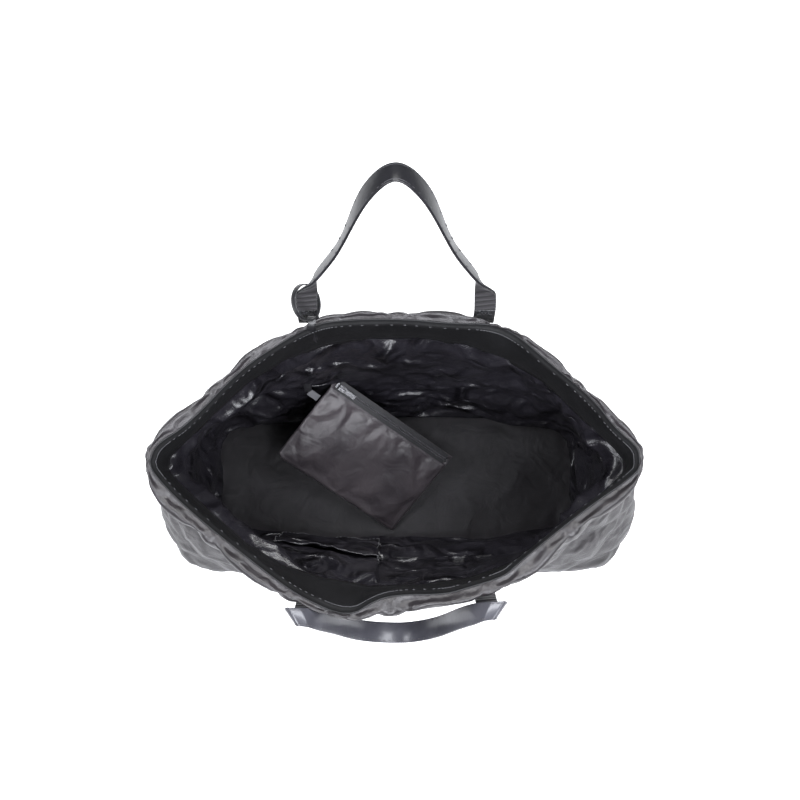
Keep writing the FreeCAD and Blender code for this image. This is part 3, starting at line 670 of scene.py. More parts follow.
def quilt_diagonals(rows):
    """Grid steps along both sets of stitched diagonals, which cross on multiples of DIAMOND."""
    i, j = np.meshgrid(np.arange(rows), np.arange(COLUMNS), indexing="ij")
    phase = i - len(ROLL_STEPS) + 3
    return i, j, (phase + j, phase - j)


def quilt_lines(rows):
    """True at the points on the stitched diagonals, the seams and the edges."""
    i, j, (rising, falling) = quilt_diagonals(rows)
    edges = (i == 0) | (i >= rows - 2)
    seams = (j % HALF == 0) & (i >= 2)
    return (rising % DIAMOND == 0) | (falling % DIAMOND == 0) | edges | seams


def foot_zone(points):
    """1 on the cloth pressed flat under a handle's sewn foot, 0 away from it."""
    zone = np.zeros(points.shape[:-1])
    for side in ("front", "back"):
        for hand in ("left", "right"):
            low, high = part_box("%s_handle_foot_%s" % (side, hand))
            middle = (low.x + high.x) / 2
            beside = np.clip(1.6 - np.abs(points[..., 0] - middle) / FLAT_BESIDE, 0, 1)
            below = np.clip((points[..., 2] - low.z) / FLAT_BELOW + 1, 0, 1)
            same_side = points[..., 1] * low.y > 0
            outside = points[..., 2] < ROLL_END
            zone = np.maximum(zone, beside * below * same_side * outside)
    return zone


def build_shell():
    """Quilted nylon: cloth held at its stitched diagonals and blown out between them."""
    rest = shell_points()
    rows = len(rest)
    sewn = quilt_lines(rows)
    zone = foot_zone(rest)
    shell = grid_object("quilted_shell", rest, QUILT_CLOTH, closed=True, flip=True)
    out = grid_normals(rest)
    away = np.repeat(outward(ROLL_LINE)[None], rows, 0)
    out = out * np.sign((out * away).sum(-1, keepdims=True) + 0.3)
    puff = PUFF * np.sqrt(np.clip(quilt_gap(rows) / (0.45 * DIAMOND), 0, 1)) * (1 - 0.85 * zone)
    final = rest + out * puff[..., None]
    start = final + out * (0.0012 * bumps(rest, 0.022, 1) * (1 - zone))[..., None]
    start[sewn] = rest[sewn]
    write_points(shell, start.reshape(-1, 3))
    pins = (sewn | (zone > 0.75)).ravel()
    moved = simulate(shell, pins, frames=16, slack=0.045, pressure=1.5, bending=0.08)
    final = held(start, moved.reshape(rest.shape), out, SWELL_LIMIT, 0.003)
    final = np.where(sewn[..., None], rest - out * GROOVE, final)
    final[..., 2] = np.maximum(final[..., 2], LOWEST)
    write_points(shell, final.reshape(-1, 3))
    thicken(shell, 0.0010)
    place(shell, "bag", "quilted_nylon", "outer_front_panel", "outer_back_panel", "wadding_front",
          "wadding_back")


def quilt_gap(rows):
    """Number of grid steps from each point to the nearest stitched diagonal."""
    i, _, diagonals = quilt_diagonals(rows)
    gaps = [np.minimum(steps % DIAMOND, DIAMOND - steps % DIAMOND) for steps in diagonals]
    gaps.append(np.minimum(i, rows - 1 - i) * 1.5)
    return np.min(gaps, axis=0)


def grid_normals(points):
    """Unit normals of a closed grid of points."""
    down = np.gradient(points, axis=0)
    across = np.roll(points, -1, axis=1) - np.roll(points, 1, axis=1)
    return unit(np.cross(across, down))


BASE_ROWS = 44
CHANNELS = 6


def base_points(outline, height, dome=0.0):
    """Flat sheet of points that fills a closed plan outline, slightly domed and creased."""
    back = outline[:HALF + 1]
    front = np.vstack([outline[HALF:], outline[:1]])[::-1]
    share = np.linspace(0, 1, BASE_ROWS)[:, None, None]
    plan = back[None] * (1 - share) + front[None] * share
    points = np.concatenate([plan, np.full(plan.shape[:2] + (1,), height)], -1)
    inside = np.sin(np.pi * share[..., 0]) * np.sin(np.pi * np.linspace(0, 1, HALF + 1))[None]
    points[..., 2] += dome * np.clip(inside * 3, 0, 1) * (0.6 + 0.8 * np.abs(bumps(points, 0.09, 5)))
    return points


def build_underside():
    """Outer cloth of the base, quilted in long channels, with piping round its edge."""
    outline = wall(OUTER_LEVELS, OUTER, [HEM_LEVEL])[0][:, :2]
    out = outward(outline)[:, :2]
    points = base_points(outline - out * 0.0055, HEM_HEIGHT)
    channel = np.abs(np.sin(np.pi * np.arange(BASE_ROWS) / (BASE_ROWS - 1) * CHANNELS))[:, None]
    points[..., 2] -= 0.0035 * np.sqrt(channel) * np.ones(points.shape[:2])
    base = grid_object("underside", points, QUILT_CLOTH)
    thicken(base, 0.0008, offset=1.0)
    place(base, "bag", "quilted_nylon", "outer_base_panel", "wadding_base", "base_board")
    path = np.column_stack([outline - out * 0.0035, np.full(COLUMNS, 0.0055)])
    upward = np.tile([0.0, 0.0, 1.0], (COLUMNS, 1))
    piping = sweep("base_piping", path, upward, circle(0.0021), QUILT_CLOTH, closed=True)
    place(piping, "bag", "quilted_nylon")


# ------------------------------------------------------------------------------------------ facing


# The band's top slants inward over this drop and depth, and its edge is a rounded bead.
FOLD_DROP = 0.007
FOLD_DEPTH = 0.005
BAND_ROWS = 18
BAND_THICKNESS = 0.0015
BEAD = [(0.0002, 0.0010), (0.0009, 0.0018), (0.0017, 0.0014), (0.0021, 0.0004)]
TOPSTITCH_DROP = 0.0062


def build_facing():
    """Leather-look band inside the rim: a slanting folded top, a wavy lower edge and a topstitch."""
    wave = bumps(np.column_stack([RIM_LINE, np.zeros(COLUMNS)]), 0.07, 3)
    low = FACING_LOW + 0.004 + 0.006 * wave
    out = outward(RIM_LINE)
    shares = np.linspace(0, 1, BAND_ROWS + 1) ** 0.6
    inner = np.array([face_row(low + (RIM - 0.0005 - low) * share) for share in shares])
    ripple = 0.0030 * bumps(inner, 0.045, 4) * np.sin(np.pi * shares)[:, None]
    inner = inner - out[None] * ripple[..., None]
    bead = [inner[-1] + out * push + np.array([0, 0, lift]) for push, lift in BEAD]
    behind = [inner[k] + out * BAND_THICKNESS for k in range(BAND_ROWS, -1, -3)]
    ring = np.concatenate([inner, np.array(bead), np.array(behind), inner[:1]])
    facing = grid_object("facing_band", ring, FACING_LEATHER, closed=True, flip=True)
    weld(facing)
    place(facing, "bag", "facing_leather", "facing_front", "facing_back")
    drop = np.linalg.norm(inner[-1] - inner, axis=-1).mean(1)
    row = interpolate_rows(inner, np.interp(-TOPSTITCH_DROP, -drop, np.arange(BAND_ROWS + 1)))
    slant = unit(np.array([0, 0, 1.0]) * FOLD_DEPTH - out * FOLD_DROP)
    thread = stitches("rim_topstitch", row + slant * 0.0002, slant, pitch=0.0046, length=0.0033,
                      radius=0.00045, closed=True)
    place(thread, "bag", "facing_leather")


def interpolate_rows(rows, number):
    """Row at a fractional number between two rows."""
    k = min(int(number), len(rows) - 2)
    return rows[k] * (1 - number + k) + rows[k + 1] * (number - k)


def face_row(heights):
    """Inner wall with its own height at each column, between the facing's lower edge and the rim."""
    share = np.clip((heights - FACING_LOW) / (RIM - FACING_LOW), 0, 1)[:, None] ** 1.3
    folded = np.clip((RIM - heights) / FOLD_DROP, 0, 1)[:, None]
    lean = FOLD_DEPTH * folded * (2 - folded) * share ** 0.5
    plan = INNER[-2] * (1 - share) + (INNER[-1] - outward(INNER[-1])[:, :2] * lean) * share
    return np.column_stack([plan, heights])


def weld(piece, distance=0.00002):
    """Merges points that lie on each other."""
    shape = bmesh.new()
    shape.from_mesh(piece.data)
    bmesh.ops.remove_doubles(shape, verts=shape.verts, dist=distance)
    bmesh.ops.dissolve_degenerate(shape, edges=shape.edges, dist=distance)
    shape.to_mesh(piece.data)
    shape.free()


# ------------------------------------------------------------------------------------------ lining

LINING_ROWS = 62
ZIP_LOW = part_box("pocket_zip_coil_lower")[0]
ZIP_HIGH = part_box("pocket_zip_coil_upper")[1]
ZIP_MIDDLE = (ZIP_LOW + ZIP_HIGH) / 2
# Half length and half height of the slot in the lining that shows the pocket zip.
WINDOW_LONG = 0.077
WINDOW_HALF = 0.0052
LINING_TOP = FACING_LOW + 0.012
# How far the lining's folds may stand in from the wall, and out behind it.
FOLD_LIMIT = 0.024
FOLD_BEHIND = 0.005


def finer(rows):
    """Doubles a closed grid both ways, halfway points in between."""
    tall = np.empty((2 * len(rows) - 1,) + rows.shape[1:])
    tall[0::2] = rows
    tall[1::2] = (rows[:-1] + rows[1:]) / 2
    wide = np.empty((tall.shape[0], 2 * tall.shape[1]) + tall.shape[2:])
    wide[:, 0::2] = tall
    wide[:, 1::2] = (tall + np.roll(tall, -1, axis=1)) / 2
    return wide


def ridges(points, size, seed, stretch=(1.0, 1.0, 1.0)):
    """Crisp creases in 0..1: sharp along wandering lines, hollow between them."""
    warped = points + 0.35 * size * np.stack([bumps(points, 1.6 * size, seed + k) for k in range(3)], -1)
    return (1 - 2.2 * np.abs(bumps(warped * np.array(stretch), size, seed + 9))).clip(-0.4, 1)


def lining_rest():
    """Points of the lining's wall, behind the facing at the top, with one row on the zip's middle."""
    heights = np.linspace(LINING_TOP, FLOOR_TOP + 0.0003, LINING_ROWS)
    row_at_zip = int(round((LINING_TOP - ZIP_MIDDLE.z) / (heights[0] - heights[1])))
    shift = ZIP_MIDDLE.z - heights[row_at_zip]
    heights = heights + shift * np.interp(np.arange(LINING_ROWS), [0, row_at_zip, LINING_ROWS - 1],
                                          [0, 1, 0])
    rest = wall(INNER_LEVELS[:3], INNER[:3], heights, smooth=False)
    behind_facing = heights > FACING_LOW
    rest[behind_facing] = face_rows(heights[behind_facing]) + outward(RIM_LINE)[None] * 0.0022
    return finer(rest)


def near_zip(points, beside, above):
    """True at the points of the front wall within the given distances of the pocket zip's middle."""
    return (points[..., 1] < 0) & (np.abs(points[..., 0] - ZIP_MIDDLE.x) < beside) \
        & (np.abs(points[..., 2] - ZIP_MIDDLE.z) < above)


def lining_folds(rest, rows):
    """Depth of the folds pressed into the satin, crisper near the bag's tips and calm at the edges."""
    calm = np.clip(np.minimum(rows / 8, (len(rest) - 1 - rows) / 14), 0, 1)
    calm = calm * np.clip(zip_distance(rest) / 0.03, 0, 1)
    over_zip = near_zip(rest, 0.10, 1.0) & (rest[..., 2] > ZIP_MIDDLE.z)
    calm = calm * np.where(over_zip, 0.06, 1.0)
    near_tips = np.clip((np.abs(rest[..., 0]) - 0.06) / 0.12, 0, 1)
    big = 0.014 * ridges(rest, 0.120, 11, (1.0, 1.0, 0.7))
    middle = 0.0090 * ridges(rest, 0.055, 12, (1.0, 1.0, 0.8)) * (0.6 + 0.6 * near_tips)
    small = 0.0034 * ridges(rest, 0.026, 13) * (0.4 + 0.9 * near_tips)
    return (big + middle + small + 0.002) * calm


def build_lining():
    """Loose satin, pinned under the facing, at the base and round the pocket zip; returns its points
    before and after the folds."""
    rest = lining_rest()
    inward = -finer(np.repeat(outward(INNER[1])[None], LINING_ROWS, 0))
    rows = np.arange(len(rest))[:, None] * np.ones((1, 2 * COLUMNS))
    fixed = (rows < 2) | (rows > len(rest) - 3) | near_zip(rest, 0.084, 0.0095)
    lining = grid_object("lining_walls", rest, LINING_CLOTH, closed=True)
    final = rest + inward * lining_folds(rest, rows)[..., None]
    final[fixed] = rest[fixed]
    write_points(lining, final.reshape(-1, 3))
    moved = simulate(lining, fixed.ravel(), frames=12, slack=0.03, gravity=0.04, bending=0.02)
    final = held(rest, moved.reshape(rest.shape), inward, FOLD_LIMIT, FOLD_BEHIND)
    final[fixed] = rest[fixed]
    write_points(lining, final.reshape(-1, 3))
    cut_window(lining, rest)
    thicken(lining, 0.0006, smooth=0)
    place(lining, "bag", "lining_satin", "lining_front", "lining_back")
    return rest, final


def face_rows(heights):
    """Rows of the inner wall behind the facing."""
    return np.array([face_row(np.full(COLUMNS, height)) for height in heights])


def zip_distance(points):
    """Distance in the wall from the pocket zip."""
    beside = np.maximum(np.abs(points[..., 0] - ZIP_MIDDLE.x) - 0.078, 0)
    above = np.abs(points[..., 2] - ZIP_MIDDLE.z)
    return np.hypot(beside, above) + 1.0 * (points[..., 1] > 0)


def cut_window(lining, rest):
    """Opens the slot in the front lining that shows the pocket zip."""
    shape = bmesh.new()
    shape.from_mesh(lining.data)
    flat = rest.reshape(-1, 3)
    inside = []
    for face in shape.faces:
        middle = flat[[vertex.index for vertex in face.verts]].mean(0)
        if near_zip(middle, WINDOW_LONG, WINDOW_HALF):
            inside.append(face)
    bmesh.ops.delete(shape, geom=inside, context="FACES")
    shape.to_mesh(lining.data)
    shape.free()


def build_lining_base():
    """Satin over the base board: nearly flat, with long soft creases."""
    outline = INNER[0] + outward(INNER[0])[:, :2] * 0.0005
    points = base_points(outline, FLOOR_TOP - 0.0004, dome=0.003)
    floor = grid_object("lining_floor", points, BASE_CLOTH, flip=True)
    fixed = np.ones(points.shape[:2], bool)
    fixed[1:-1, 1:-1] = False
    moved = simulate(floor, fixed.ravel(), frames=16, slack=0.022, gravity=0.05)
    up = np.tile([0.0, 0.0, 1.0], points.shape[:2] + (1,))
    points = held(points, moved.reshape(points.shape), up, 0.006, 0.0001)
    write_points(floor, points.reshape(-1, 3))
    thicken(floor, 0.0006)
    place(floor, "bag", "lining_satin", "lining_base")


def build_slip_pocket(rest, final):
    """Open pocket sewn on the front lining: a patch over the folded lining with a hemmed top."""
    low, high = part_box("slip_pocket_panel")
    level = rest[len(rest) // 2]
    chosen = np.flatnonzero((level[:, 1] < 0) & (level[:, 0] > low.x) & (level[:, 0] < high.x))
    tall = np.flatnonzero((rest[:, chosen[0], 2] > low.z) & (rest[:, chosen[0], 2] < high.z))
    patch = final[tall[0]:tall[-1] + 1, chosen[0]:chosen[-1] + 1]
    rows, columns = patch.shape[:2]
    inward = -finer(np.repeat(outward(INNER[1])[None], 2, 0))[0][chosen[0]:chosen[-1] + 1]
    down = np.linspace(0, 1, rows)[:, None]
    across = np.linspace(0, 1, columns)[None]
    belly = 0.0020 + 0.004 * np.sin(np.pi * across) * (1 - down) ** 0.7
    patch = patch + inward * belly[..., None]
    hem = patch[:1] + inward[None] * 0.0012 + np.array([0, 0, 0.0012])
    pocket = grid_object("slip_pocket", np.concatenate([hem, patch]), LINING_CLOTH)
    thicken(pocket, 0.0010)
    place(pocket, "bag", "lining_satin", "slip_pocket_panel")
    roll = sweep("slip_pocket_hem", patch[0] + inward * 0.0008, inward, circle(0.0007), LINING_CLOTH)
    place(roll, "bag", "lining_satin")
    sides = np.concatenate([patch[:, 1], patch[-2, 1:], patch[::-1, -2]])
    normals = np.concatenate([np.repeat(inward[1:2], rows, 0), inward[1:],
                              np.repeat(inward[-2:-1], rows, 0)])
    thread = stitches("slip_pocket_stitch", sides + normals * 0.0008, normals)
    place(thread, "bag", "lining_satin")


# ------------------------------------------------------------------------------------------- pouch


# The zip's tapes and coils lie in a shallow well between these distances below the pouch's edge.
FRONT_STEPS = [0.0, 0.4, 3.6, 4.3, 12.6, 15.0, 15.6, 18.0]
WELL_END = 0.019
POUCH_COLUMNS = 60
POUCH_EDGE = -0.9 * MM
CORNER_CUT = 0.006


def pouch_axes():
    """Origin at the pouch's top left corner on the zip's plane, and its three axes as rows."""
    across = unit(np.array(JOINTS["pouch_zip_slide"]["axis"]))
    upward = -unit(np.array(JOINTS["pouch_swing"]["axis"]))
    facing = np.cross(across, upward)
    axes = np.array([across, upward, facing])
    panel = read_points(frame["nodes"]["pouch_back_panel"]) @ axes.T
    tape = read_points(frame["nodes"]["pouch_zip_tape_upper"]) @ axes.T
    low, high = panel.min(0), panel.max(0)
    corner = np.array([low[0], high[1], (tape[:, 2].min() + tape[:, 2].max()) / 2])
    return corner @ axes, axes, high[0] - low[0], high[1] - low[1]


def pouch_level(down, front):
    """Rest height of the pouch's front or back sheet at a distance below the zip edge."""
    if not front:
        return np.interp(down, [0, 2, 8], [-0.9, -2.9, -3.4]) * MM
    return np.interp(down, FRONT_STEPS, [-0.9, -0.5, -0.55, -2.75, -2.75, -1.2, 0.9, 1.2]) * MM


def pouch_sheet(xs, downs, depth, front):
    """Local points of one sheet of the pouch: across, up and out of its plane."""
    x, down = np.meshgrid(xs, downs)
    level = pouch_level(down / MM, front)
    nearest = np.minimum.reduce([x, xs[-1] - x, depth - down])
    level = np.where((nearest < 1e-6) | (down == downs[0]), POUCH_EDGE, level)
    inset = CORNER_CUT * (1 - np.clip(x / CORNER_CUT, 0, 1)) * (down > depth - 0.004)
    return np.stack([x, -down + inset, level], -1)


def build_pouch():
    """Flat zip pouch: two sheets sewn at the edge and lightly filled, the zip let into the front.
    Returns its three axes."""
    origin, axes, width, depth = pouch_axes()
    zip_rows = np.array(sorted(FRONT_STEPS + [8.5])) * MM
    downs = np.concatenate([zip_rows, np.linspace(0.021, depth, 38)])
    xs = np.linspace(0, width, POUCH_COLUMNS)
    sheets = [pouch_sheet(xs, downs, depth, front).reshape(-1, 3) for front in (True, False)]
    front_faces, _ = grid_faces(len(downs), POUCH_COLUMNS, False, True)
    back_faces, _ = grid_faces(len(downs), POUCH_COLUMNS, False, False)
    faces = np.concatenate([front_faces, back_faces + len(sheets[0])])
    measure = np.stack(np.meshgrid(xs, downs), -1).reshape(-1, 2)
    uv = measure[np.concatenate([front_faces, back_faces]).ravel()]
    pouch = mesh_object("pouch", np.concatenate(sheets) @ axes + origin, faces, POUCH_CLOTH, uv)
    weld(pouch, 0.00005)
    rest = read_points(pouch)
    x, up, level = ((rest - origin) @ axes.T).T
    fixed = (x < 1e-4) | (x > width - 1e-4) | (up < -depth + 1e-4) | (up > -WELL_END)
    outside = axes[2] * np.where(level > -0.001, 1.0, -1.0)[:, None]
    fill = np.sin(np.pi * np.clip(x / width, 0, 1)) ** 0.5
    fill = fill * np.sin(np.pi * np.clip((-up - 0.017) / (depth - 0.017), 0, 1)) ** 0.5
    wrinkle = 0.6 * MM * bumps(rest, 0.03, 21) * ~fixed
    write_points(pouch, rest + outside * (fill * 0.001)[:, None] + axes[2] * wrinkle[:, None])
    moved = simulate(pouch, fixed, frames=20, slack=0.022, pressure=1.6, bending=0.2)
    lifted = held(rest, moved, outside, 0.006, 0.0005)
    lifted = np.where(fixed[:, None], rest, lifted)
    lean = np.clip(-up / depth, 0, 1)[:, None] ** 1.5
    write_points(pouch, lifted + lean * (axes[0] * 0.005))
    thicken(pouch, 0.0)
    place(pouch, "pouch", "pouch_nylon", "pouch_front_panel", "pouch_back_panel")
    along = np.linspace(0.003, width - 0.003, POUCH_COLUMNS)
    beside, above = np.full(POUCH_COLUMNS, -0.0178), np.full(POUCH_COLUMNS, 0.0017)
    row = np.column_stack([along, beside, above]) @ axes + origin
    thread = stitches("pouch_zip_stitch", row, np.tile(axes[2], (POUCH_COLUMNS, 1)), pitch=0.0036,
                      length=0.0026, radius=0.0003)
    place(thread, "pouch", "pouch_nylon")
    return axes


# ----------------------------------------------------------------------------------------- handles

STRAP_WIDTH = 0.025
FACE_THICKNESS = 0.0020
BACKING_THICKNESS = 0.0013
STRAP_HALF = (FACE_THICKNESS + BACKING_THICKNESS) / 2
# Distance from the strap's middle to each row of stitches.
STITCH_ROW = STRAP_WIDTH / 2 - 0.0028
# The back handle leans back, rises this far along its own plane and rolls a little at its top.
BACK_LEAN = math.radians(40)
BACK_RISE = 0.187
BACK_ROLL = 18
BACK_LEG = [(1.0, 0.0), (0.99, 0.12), (0.68, 0.41), (0.45, 0.70), (0.24, 0.91)]
# The front handle droops, its ends set in from the hinge (the right one further) and lifted.
FRONT_HANG = math.radians(9)
FRONT_LEG = [(1.0, 0.0), (0.82, 0.13), (0.62, 0.42), (0.40, 0.82), (0.18, 0.97)]
FOLD_INSET = 0.006
RIGHT_INSET = 0.007
STRAP_LIFT = 0.0065
# Heights from the hinge, lower and upper; a front foot's straight part is cut off at the lower one, and its fold
# follows.
FRONT_BEND = (-0.024, -0.006)


def strap_foot(side, hand):
    """Path and face normals of one sewn foot, from its lower end up to the rim."""
    low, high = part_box("%s_handle_foot_%s" % (side, hand))
    away = 1.0 if side == "back" else -1.0
    lower_y, upper_y = (low.y, high.y) if side == "back" else (high.y, low.y)
    middle = (low.x + high.x) / 2
    start = np.array([middle, lower_y + away * STRAP_HALF, low.z])
    end = np.array([middle, upper_y - away * STRAP_HALF, high.z])
    path = np.linspace(start, end, 14)
    normal = unit(np.cross(np.array([away, 0.0, 0.0]), unit(end - start)))
    return path, np.tile(normal, (len(path), 1))


def rotated(vectors, angle):
    """Vectors turned about X."""
    c, s = math.cos(angle), math.sin(angle)
    return np.stack([vectors[:, 0], c * vectors[:, 1] - s * vectors[:, 2],
                     s * vectors[:, 1] + c * vectors[:, 2]], 1)


def leg_curve(span, drop, leg, first, last):
    """Symmetric arch or sag through one leg's points, given as shares of the span and the drop."""
    left = [(-span * x, 0.0, drop * z) for x, z in leg]
    right = [(span * x, 0.0, drop * z) for x, z in reversed(leg)]
    return spline(left + [(0.0, 0.0, drop)] + right, first, last, 90)


def back_handle_line():
    """Centre line and face normals of the upright handle, foot to foot; its legs twist edge on."""
    low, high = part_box("back_handle_foot_right")
    curve = leg_curve((low.x + high.x) / 2, BACK_RISE, BACK_LEG, (0, 0, 1), (0, 0, -1))
    along = tangents(curve)
    height = curve[:, 2] / BACK_RISE
    twist = ease((height - 0.07) / 0.19)
    top = ease((height - 0.45) / 0.5)
    turn = np.radians(90 - 86 * twist - (4 + BACK_ROLL) * top)
    sideways = np.column_stack([-along[:, 2], np.zeros(len(curve)), along[:, 0]])
    normals = sideways * np.cos(turn)[:, None] + np.array([0, 1.0, 0]) * np.sin(turn)[:, None]
    return rotated(curve, -BACK_LEAN) + BACK_PIVOT, rotated(normals, -BACK_LEAN)


def front_handle_line():
    """Centre line and face normals of the drooping handle, face side up."""
    low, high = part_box("front_handle_strap")
    span = high.x - 0.0012
    drop = -(FRONT_PIVOT[2] - low.z - 0.004) / math.cos(FRONT_HANG)
    curve = leg_curve(span, drop, FRONT_LEG, (1, 0, -0.5), (1, 0, 0.5))
    along = tangents(curve)
    normals = np.column_stack([-along[:, 2], np.zeros(len(curve)), along[:, 0]])
    inset = FOLD_INSET + RIGHT_INSET * ease(curve[:, 0] / span)
    lift = STRAP_LIFT * ease((np.abs(curve[:, 0]) - 0.045) / 0.045)
    curve = rotated(curve, -FRONT_HANG) + FRONT_PIVOT
    curve[:, 1] += inset
    curve[:, 2] += lift
    return curve, rotated(normals, -FRONT_HANG)


def ease(share):
    """Smooth step from 0 to 1."""
    share = np.clip(share, 0, 1)
    return share * share * (3 - 2 * share)


def even_frames(path, vectors, count, width):
    """Evenly spaced path with the vectors it carries, and the bends rounded."""
    both = soften(evenly(np.hstack([path, vectors]), count), width)
    return both[:, :3], both[:, 3:]


def squared(path, faces):
    """Face normals made square to the path."""
    along = tangents(path)
    return unit(faces - along * (faces * along).sum(1, keepdims=True))


def strap_pieces(name, path, faces, rungs=None, leather=STRAP_LEATHER):
    """Leather-look face, webbing backing and two rows of stitches along a strap."""
    strap = sweep(name + "_face", path, faces, rounded_section(STRAP_WIDTH, FACE_THICKNESS),
                  leather, shift=STRAP_HALF - FACE_THICKNESS / 2, rungs=rungs)
    backing = sweep(name + "_webbing", path, faces,
                    rounded_section(STRAP_WIDTH - 0.0012, BACKING_THICKNESS), WEBBING,
                    shift=-STRAP_HALF + BACKING_THICKNESS / 2 - 0.0001, rungs=rungs)
    pieces = [strap, backing]
    across = unit(np.cross(tangents(path), faces)) if rungs is None else rungs
    for side, edge in ((-1, "near"), (1, "far")):
        row = path + across * side * STITCH_ROW + faces * (STRAP_HALF + 0.0001)
        pieces.append(stitches("%s_stitch_%s" % (name, edge), row, faces, pitch=0.0048, length=0.0034))
    return pieces


def bend(pieces):
    """Moves each piece's transform into its points."""
    for piece in pieces:
        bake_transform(piece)


def build_back_handle():
    """One strap from foot to foot."""
    line, normals = back_handle_line()
    left, left_normals = strap_foot("back", "left")
    right, right_normals = strap_foot("back", "right")
    path = np.vstack([left, line, right[::-1]])
    faces = np.vstack([left_normals, normals, right_normals[::-1]])
    path, faces = even_frames(path, faces, 320, 5)
    faces = squared(path, faces)
    pieces = strap_pieces("back_strap", path, faces)
    bend(pieces)
    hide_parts("back_handle_strap", "back_handle_foot_left", "back_handle_foot_right")
    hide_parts("back_handle_backing")
    build_box_stitches("back", path, faces)


# The fold at a front foot, from the foot up: outward, bag-ward and upward distances from the foot's
# middle line and the hinge, then the direction across the strap: shares towards the bag's middle, +Y and +Z.
FOLD = [((0.0010, 0.0100, -0.0150), (1.0, -0.10, -0.05)),
        ((0.0060, 0.0080, -0.0095), (0.85, -0.45, -0.15)),
        ((0.0115, 0.0065, -0.0062), (0.62, -0.72, -0.22)),
        ((0.0150, 0.0060, -0.0005), (0.52, -0.80, -0.24)),
        ((0.0125, 0.0060, 0.0045), (0.50, -0.82, -0.24))]


def front_fold(hand):
    """Path and cross direction from a front foot up behind the handle and round the slanting fold."""
    foot, _ = strap_foot("front", hand)
    side = 1.0 if hand == "right" else -1.0
    _, y, z = FRONT_PIVOT
    foot = foot[foot[:, 2] < z + FRONT_BEND[0]]
    closer = RIGHT_INSET if hand == "right" else 0.0
    foot[:, 1] += closer
    turn = np.array([(foot[0][0] + side * out, y + back + closer, z + up)
                     for (out, back, up), _ in FOLD])
    rungs = np.array([(-side * x, y_share, z_share) for _, (x, y_share, z_share) in FOLD])
    foot_rungs = np.tile([-side, 0.0, 0.0], (len(foot), 1))
    return np.vstack([foot, turn]), np.vstack([foot_rungs, rungs])


def build_front_handle():
    """Feet that rise behind the handle, and the strap that folds over and droops from them."""
    line, normals = front_handle_line()
    left, left_rungs = front_fold("left")
    right, right_rungs = front_fold("right")
    droop = unit(np.cross(tangents(line), normals))
    near_left = ease(1 - (line[:, :1] - line[0, 0]) / 0.030)
    near_right = ease(1 - (line[-1, 0] - line[:, :1]) / 0.030)
    droop = (droop * (1 - near_left - near_right) + near_left * left_rungs[-1]
             + near_right * right_rungs[-1])
    path = np.vstack([left, line[3:-3], right[::-1]])
    rungs = np.vstack([left_rungs, droop[3:-3], right_rungs[::-1]])
    path, rungs = even_frames(path, rungs, 400, 3)
    faces = unit(np.cross(rungs, tangents(path)))
    beyond_foot = np.abs(path[:, 0]) > abs(left[0][0]) + 0.009
    first, last = int(np.argmax(beyond_foot)), len(path) - int(np.argmax(beyond_foot[::-1]))
    middle = slice(first, last)
    # The drooping strap's face uses the leather painted lighter, as painted reflection.
    pieces = strap_pieces("front_strap", path[middle], faces[middle], rungs[middle], LIT_STRAP_LEATHER)
    for piece in pieces:
        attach(piece, "front_handle")
    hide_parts("front_handle_strap")
    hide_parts("front_handle_backing")
    for hand, chosen in (("left", slice(0, first + 3)), ("right", slice(last - 3, len(path)))):
        risers = strap_pieces("front_foot_" + hand, path[chosen], faces[chosen], rungs[chosen])
        bend(risers)
        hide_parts("front_handle_foot_" + hand)
    build_box_stitches("front", path, faces)


def build_box_stitches(side, path, faces):
    """Crossed box of stitches that holds each foot to its panel."""
    across = unit(np.cross(tangents(path), faces)) * STITCH_ROW
    for hand, a, b in (("left", 3, 22), ("right", -4, -23)):
        corner = [path[a] - across[a], path[a] + across[a], path[b] + across[b], path[b] - across[b]]
        order = [corner[0], corner[2], corner[3], corner[1], corner[0]]
        line = np.vstack([np.linspace(order[k], order[k + 1], 8) for k in range(4)])
        normal = np.tile(faces[a], (len(line), 1))
        thread = stitches("%s_foot_cross_%s" % (side, hand),
                          line + normal * (STRAP_HALF + 0.0001), normal)
        place(thread, "bag", "strap_leather")


# ------------------------------------------------------------------------------------------ tether

TETHER_WIDTH = 0.0075


def build_tether():
    """Thin doubled strap from the rim down to the pouch's tab."""
    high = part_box("tether_strap")[1]
    x = JOINTS["tether_swing"]["pos_m"][0]
    end = np.array(JOINTS["pouch_swing"]["pos_m"])
    points = [(x, high.y - 0.001, high.z - 0.001), (x, high.y - 0.010, high.z - 0.003),
              (x, BACK - 0.0155, RIM - 0.012), (x, BACK - 0.0225, FACING_LOW),
              (0.3 * x + 0.7 * end[0], end[1] + 0.020, end[2] + 0.060), tuple(end + [0, 0, 0.001])]
    path = spline(points, (0, -1, 0.1), (0, -0.4, -1), 90)
    along = tangents(path)
    across = np.tile([1.0, 0, 0], (len(path), 1))
    across = unit(across - along * (across * along).sum(1, keepdims=True))
    faces = np.cross(across, along)
    outline = rounded_section(TETHER_WIDTH, 0.0009)
    for name, side, lift, nodes in (("tether_upper", 0.0008, 0.0005, ["tether_strap"]),
                                    ("tether_lower", -0.0010, -0.0006, [])):
        strap = sweep(name, path + across * side, faces, outline, TETHER_LEATHER, shift=lift)
        place(strap, "tether", "tether_leather", *nodes)


LOOP_TILT = math.radians(48)
LOOP_RISE = math.radians(14)
LOOP_RADII = (0.0205, 0.0200)


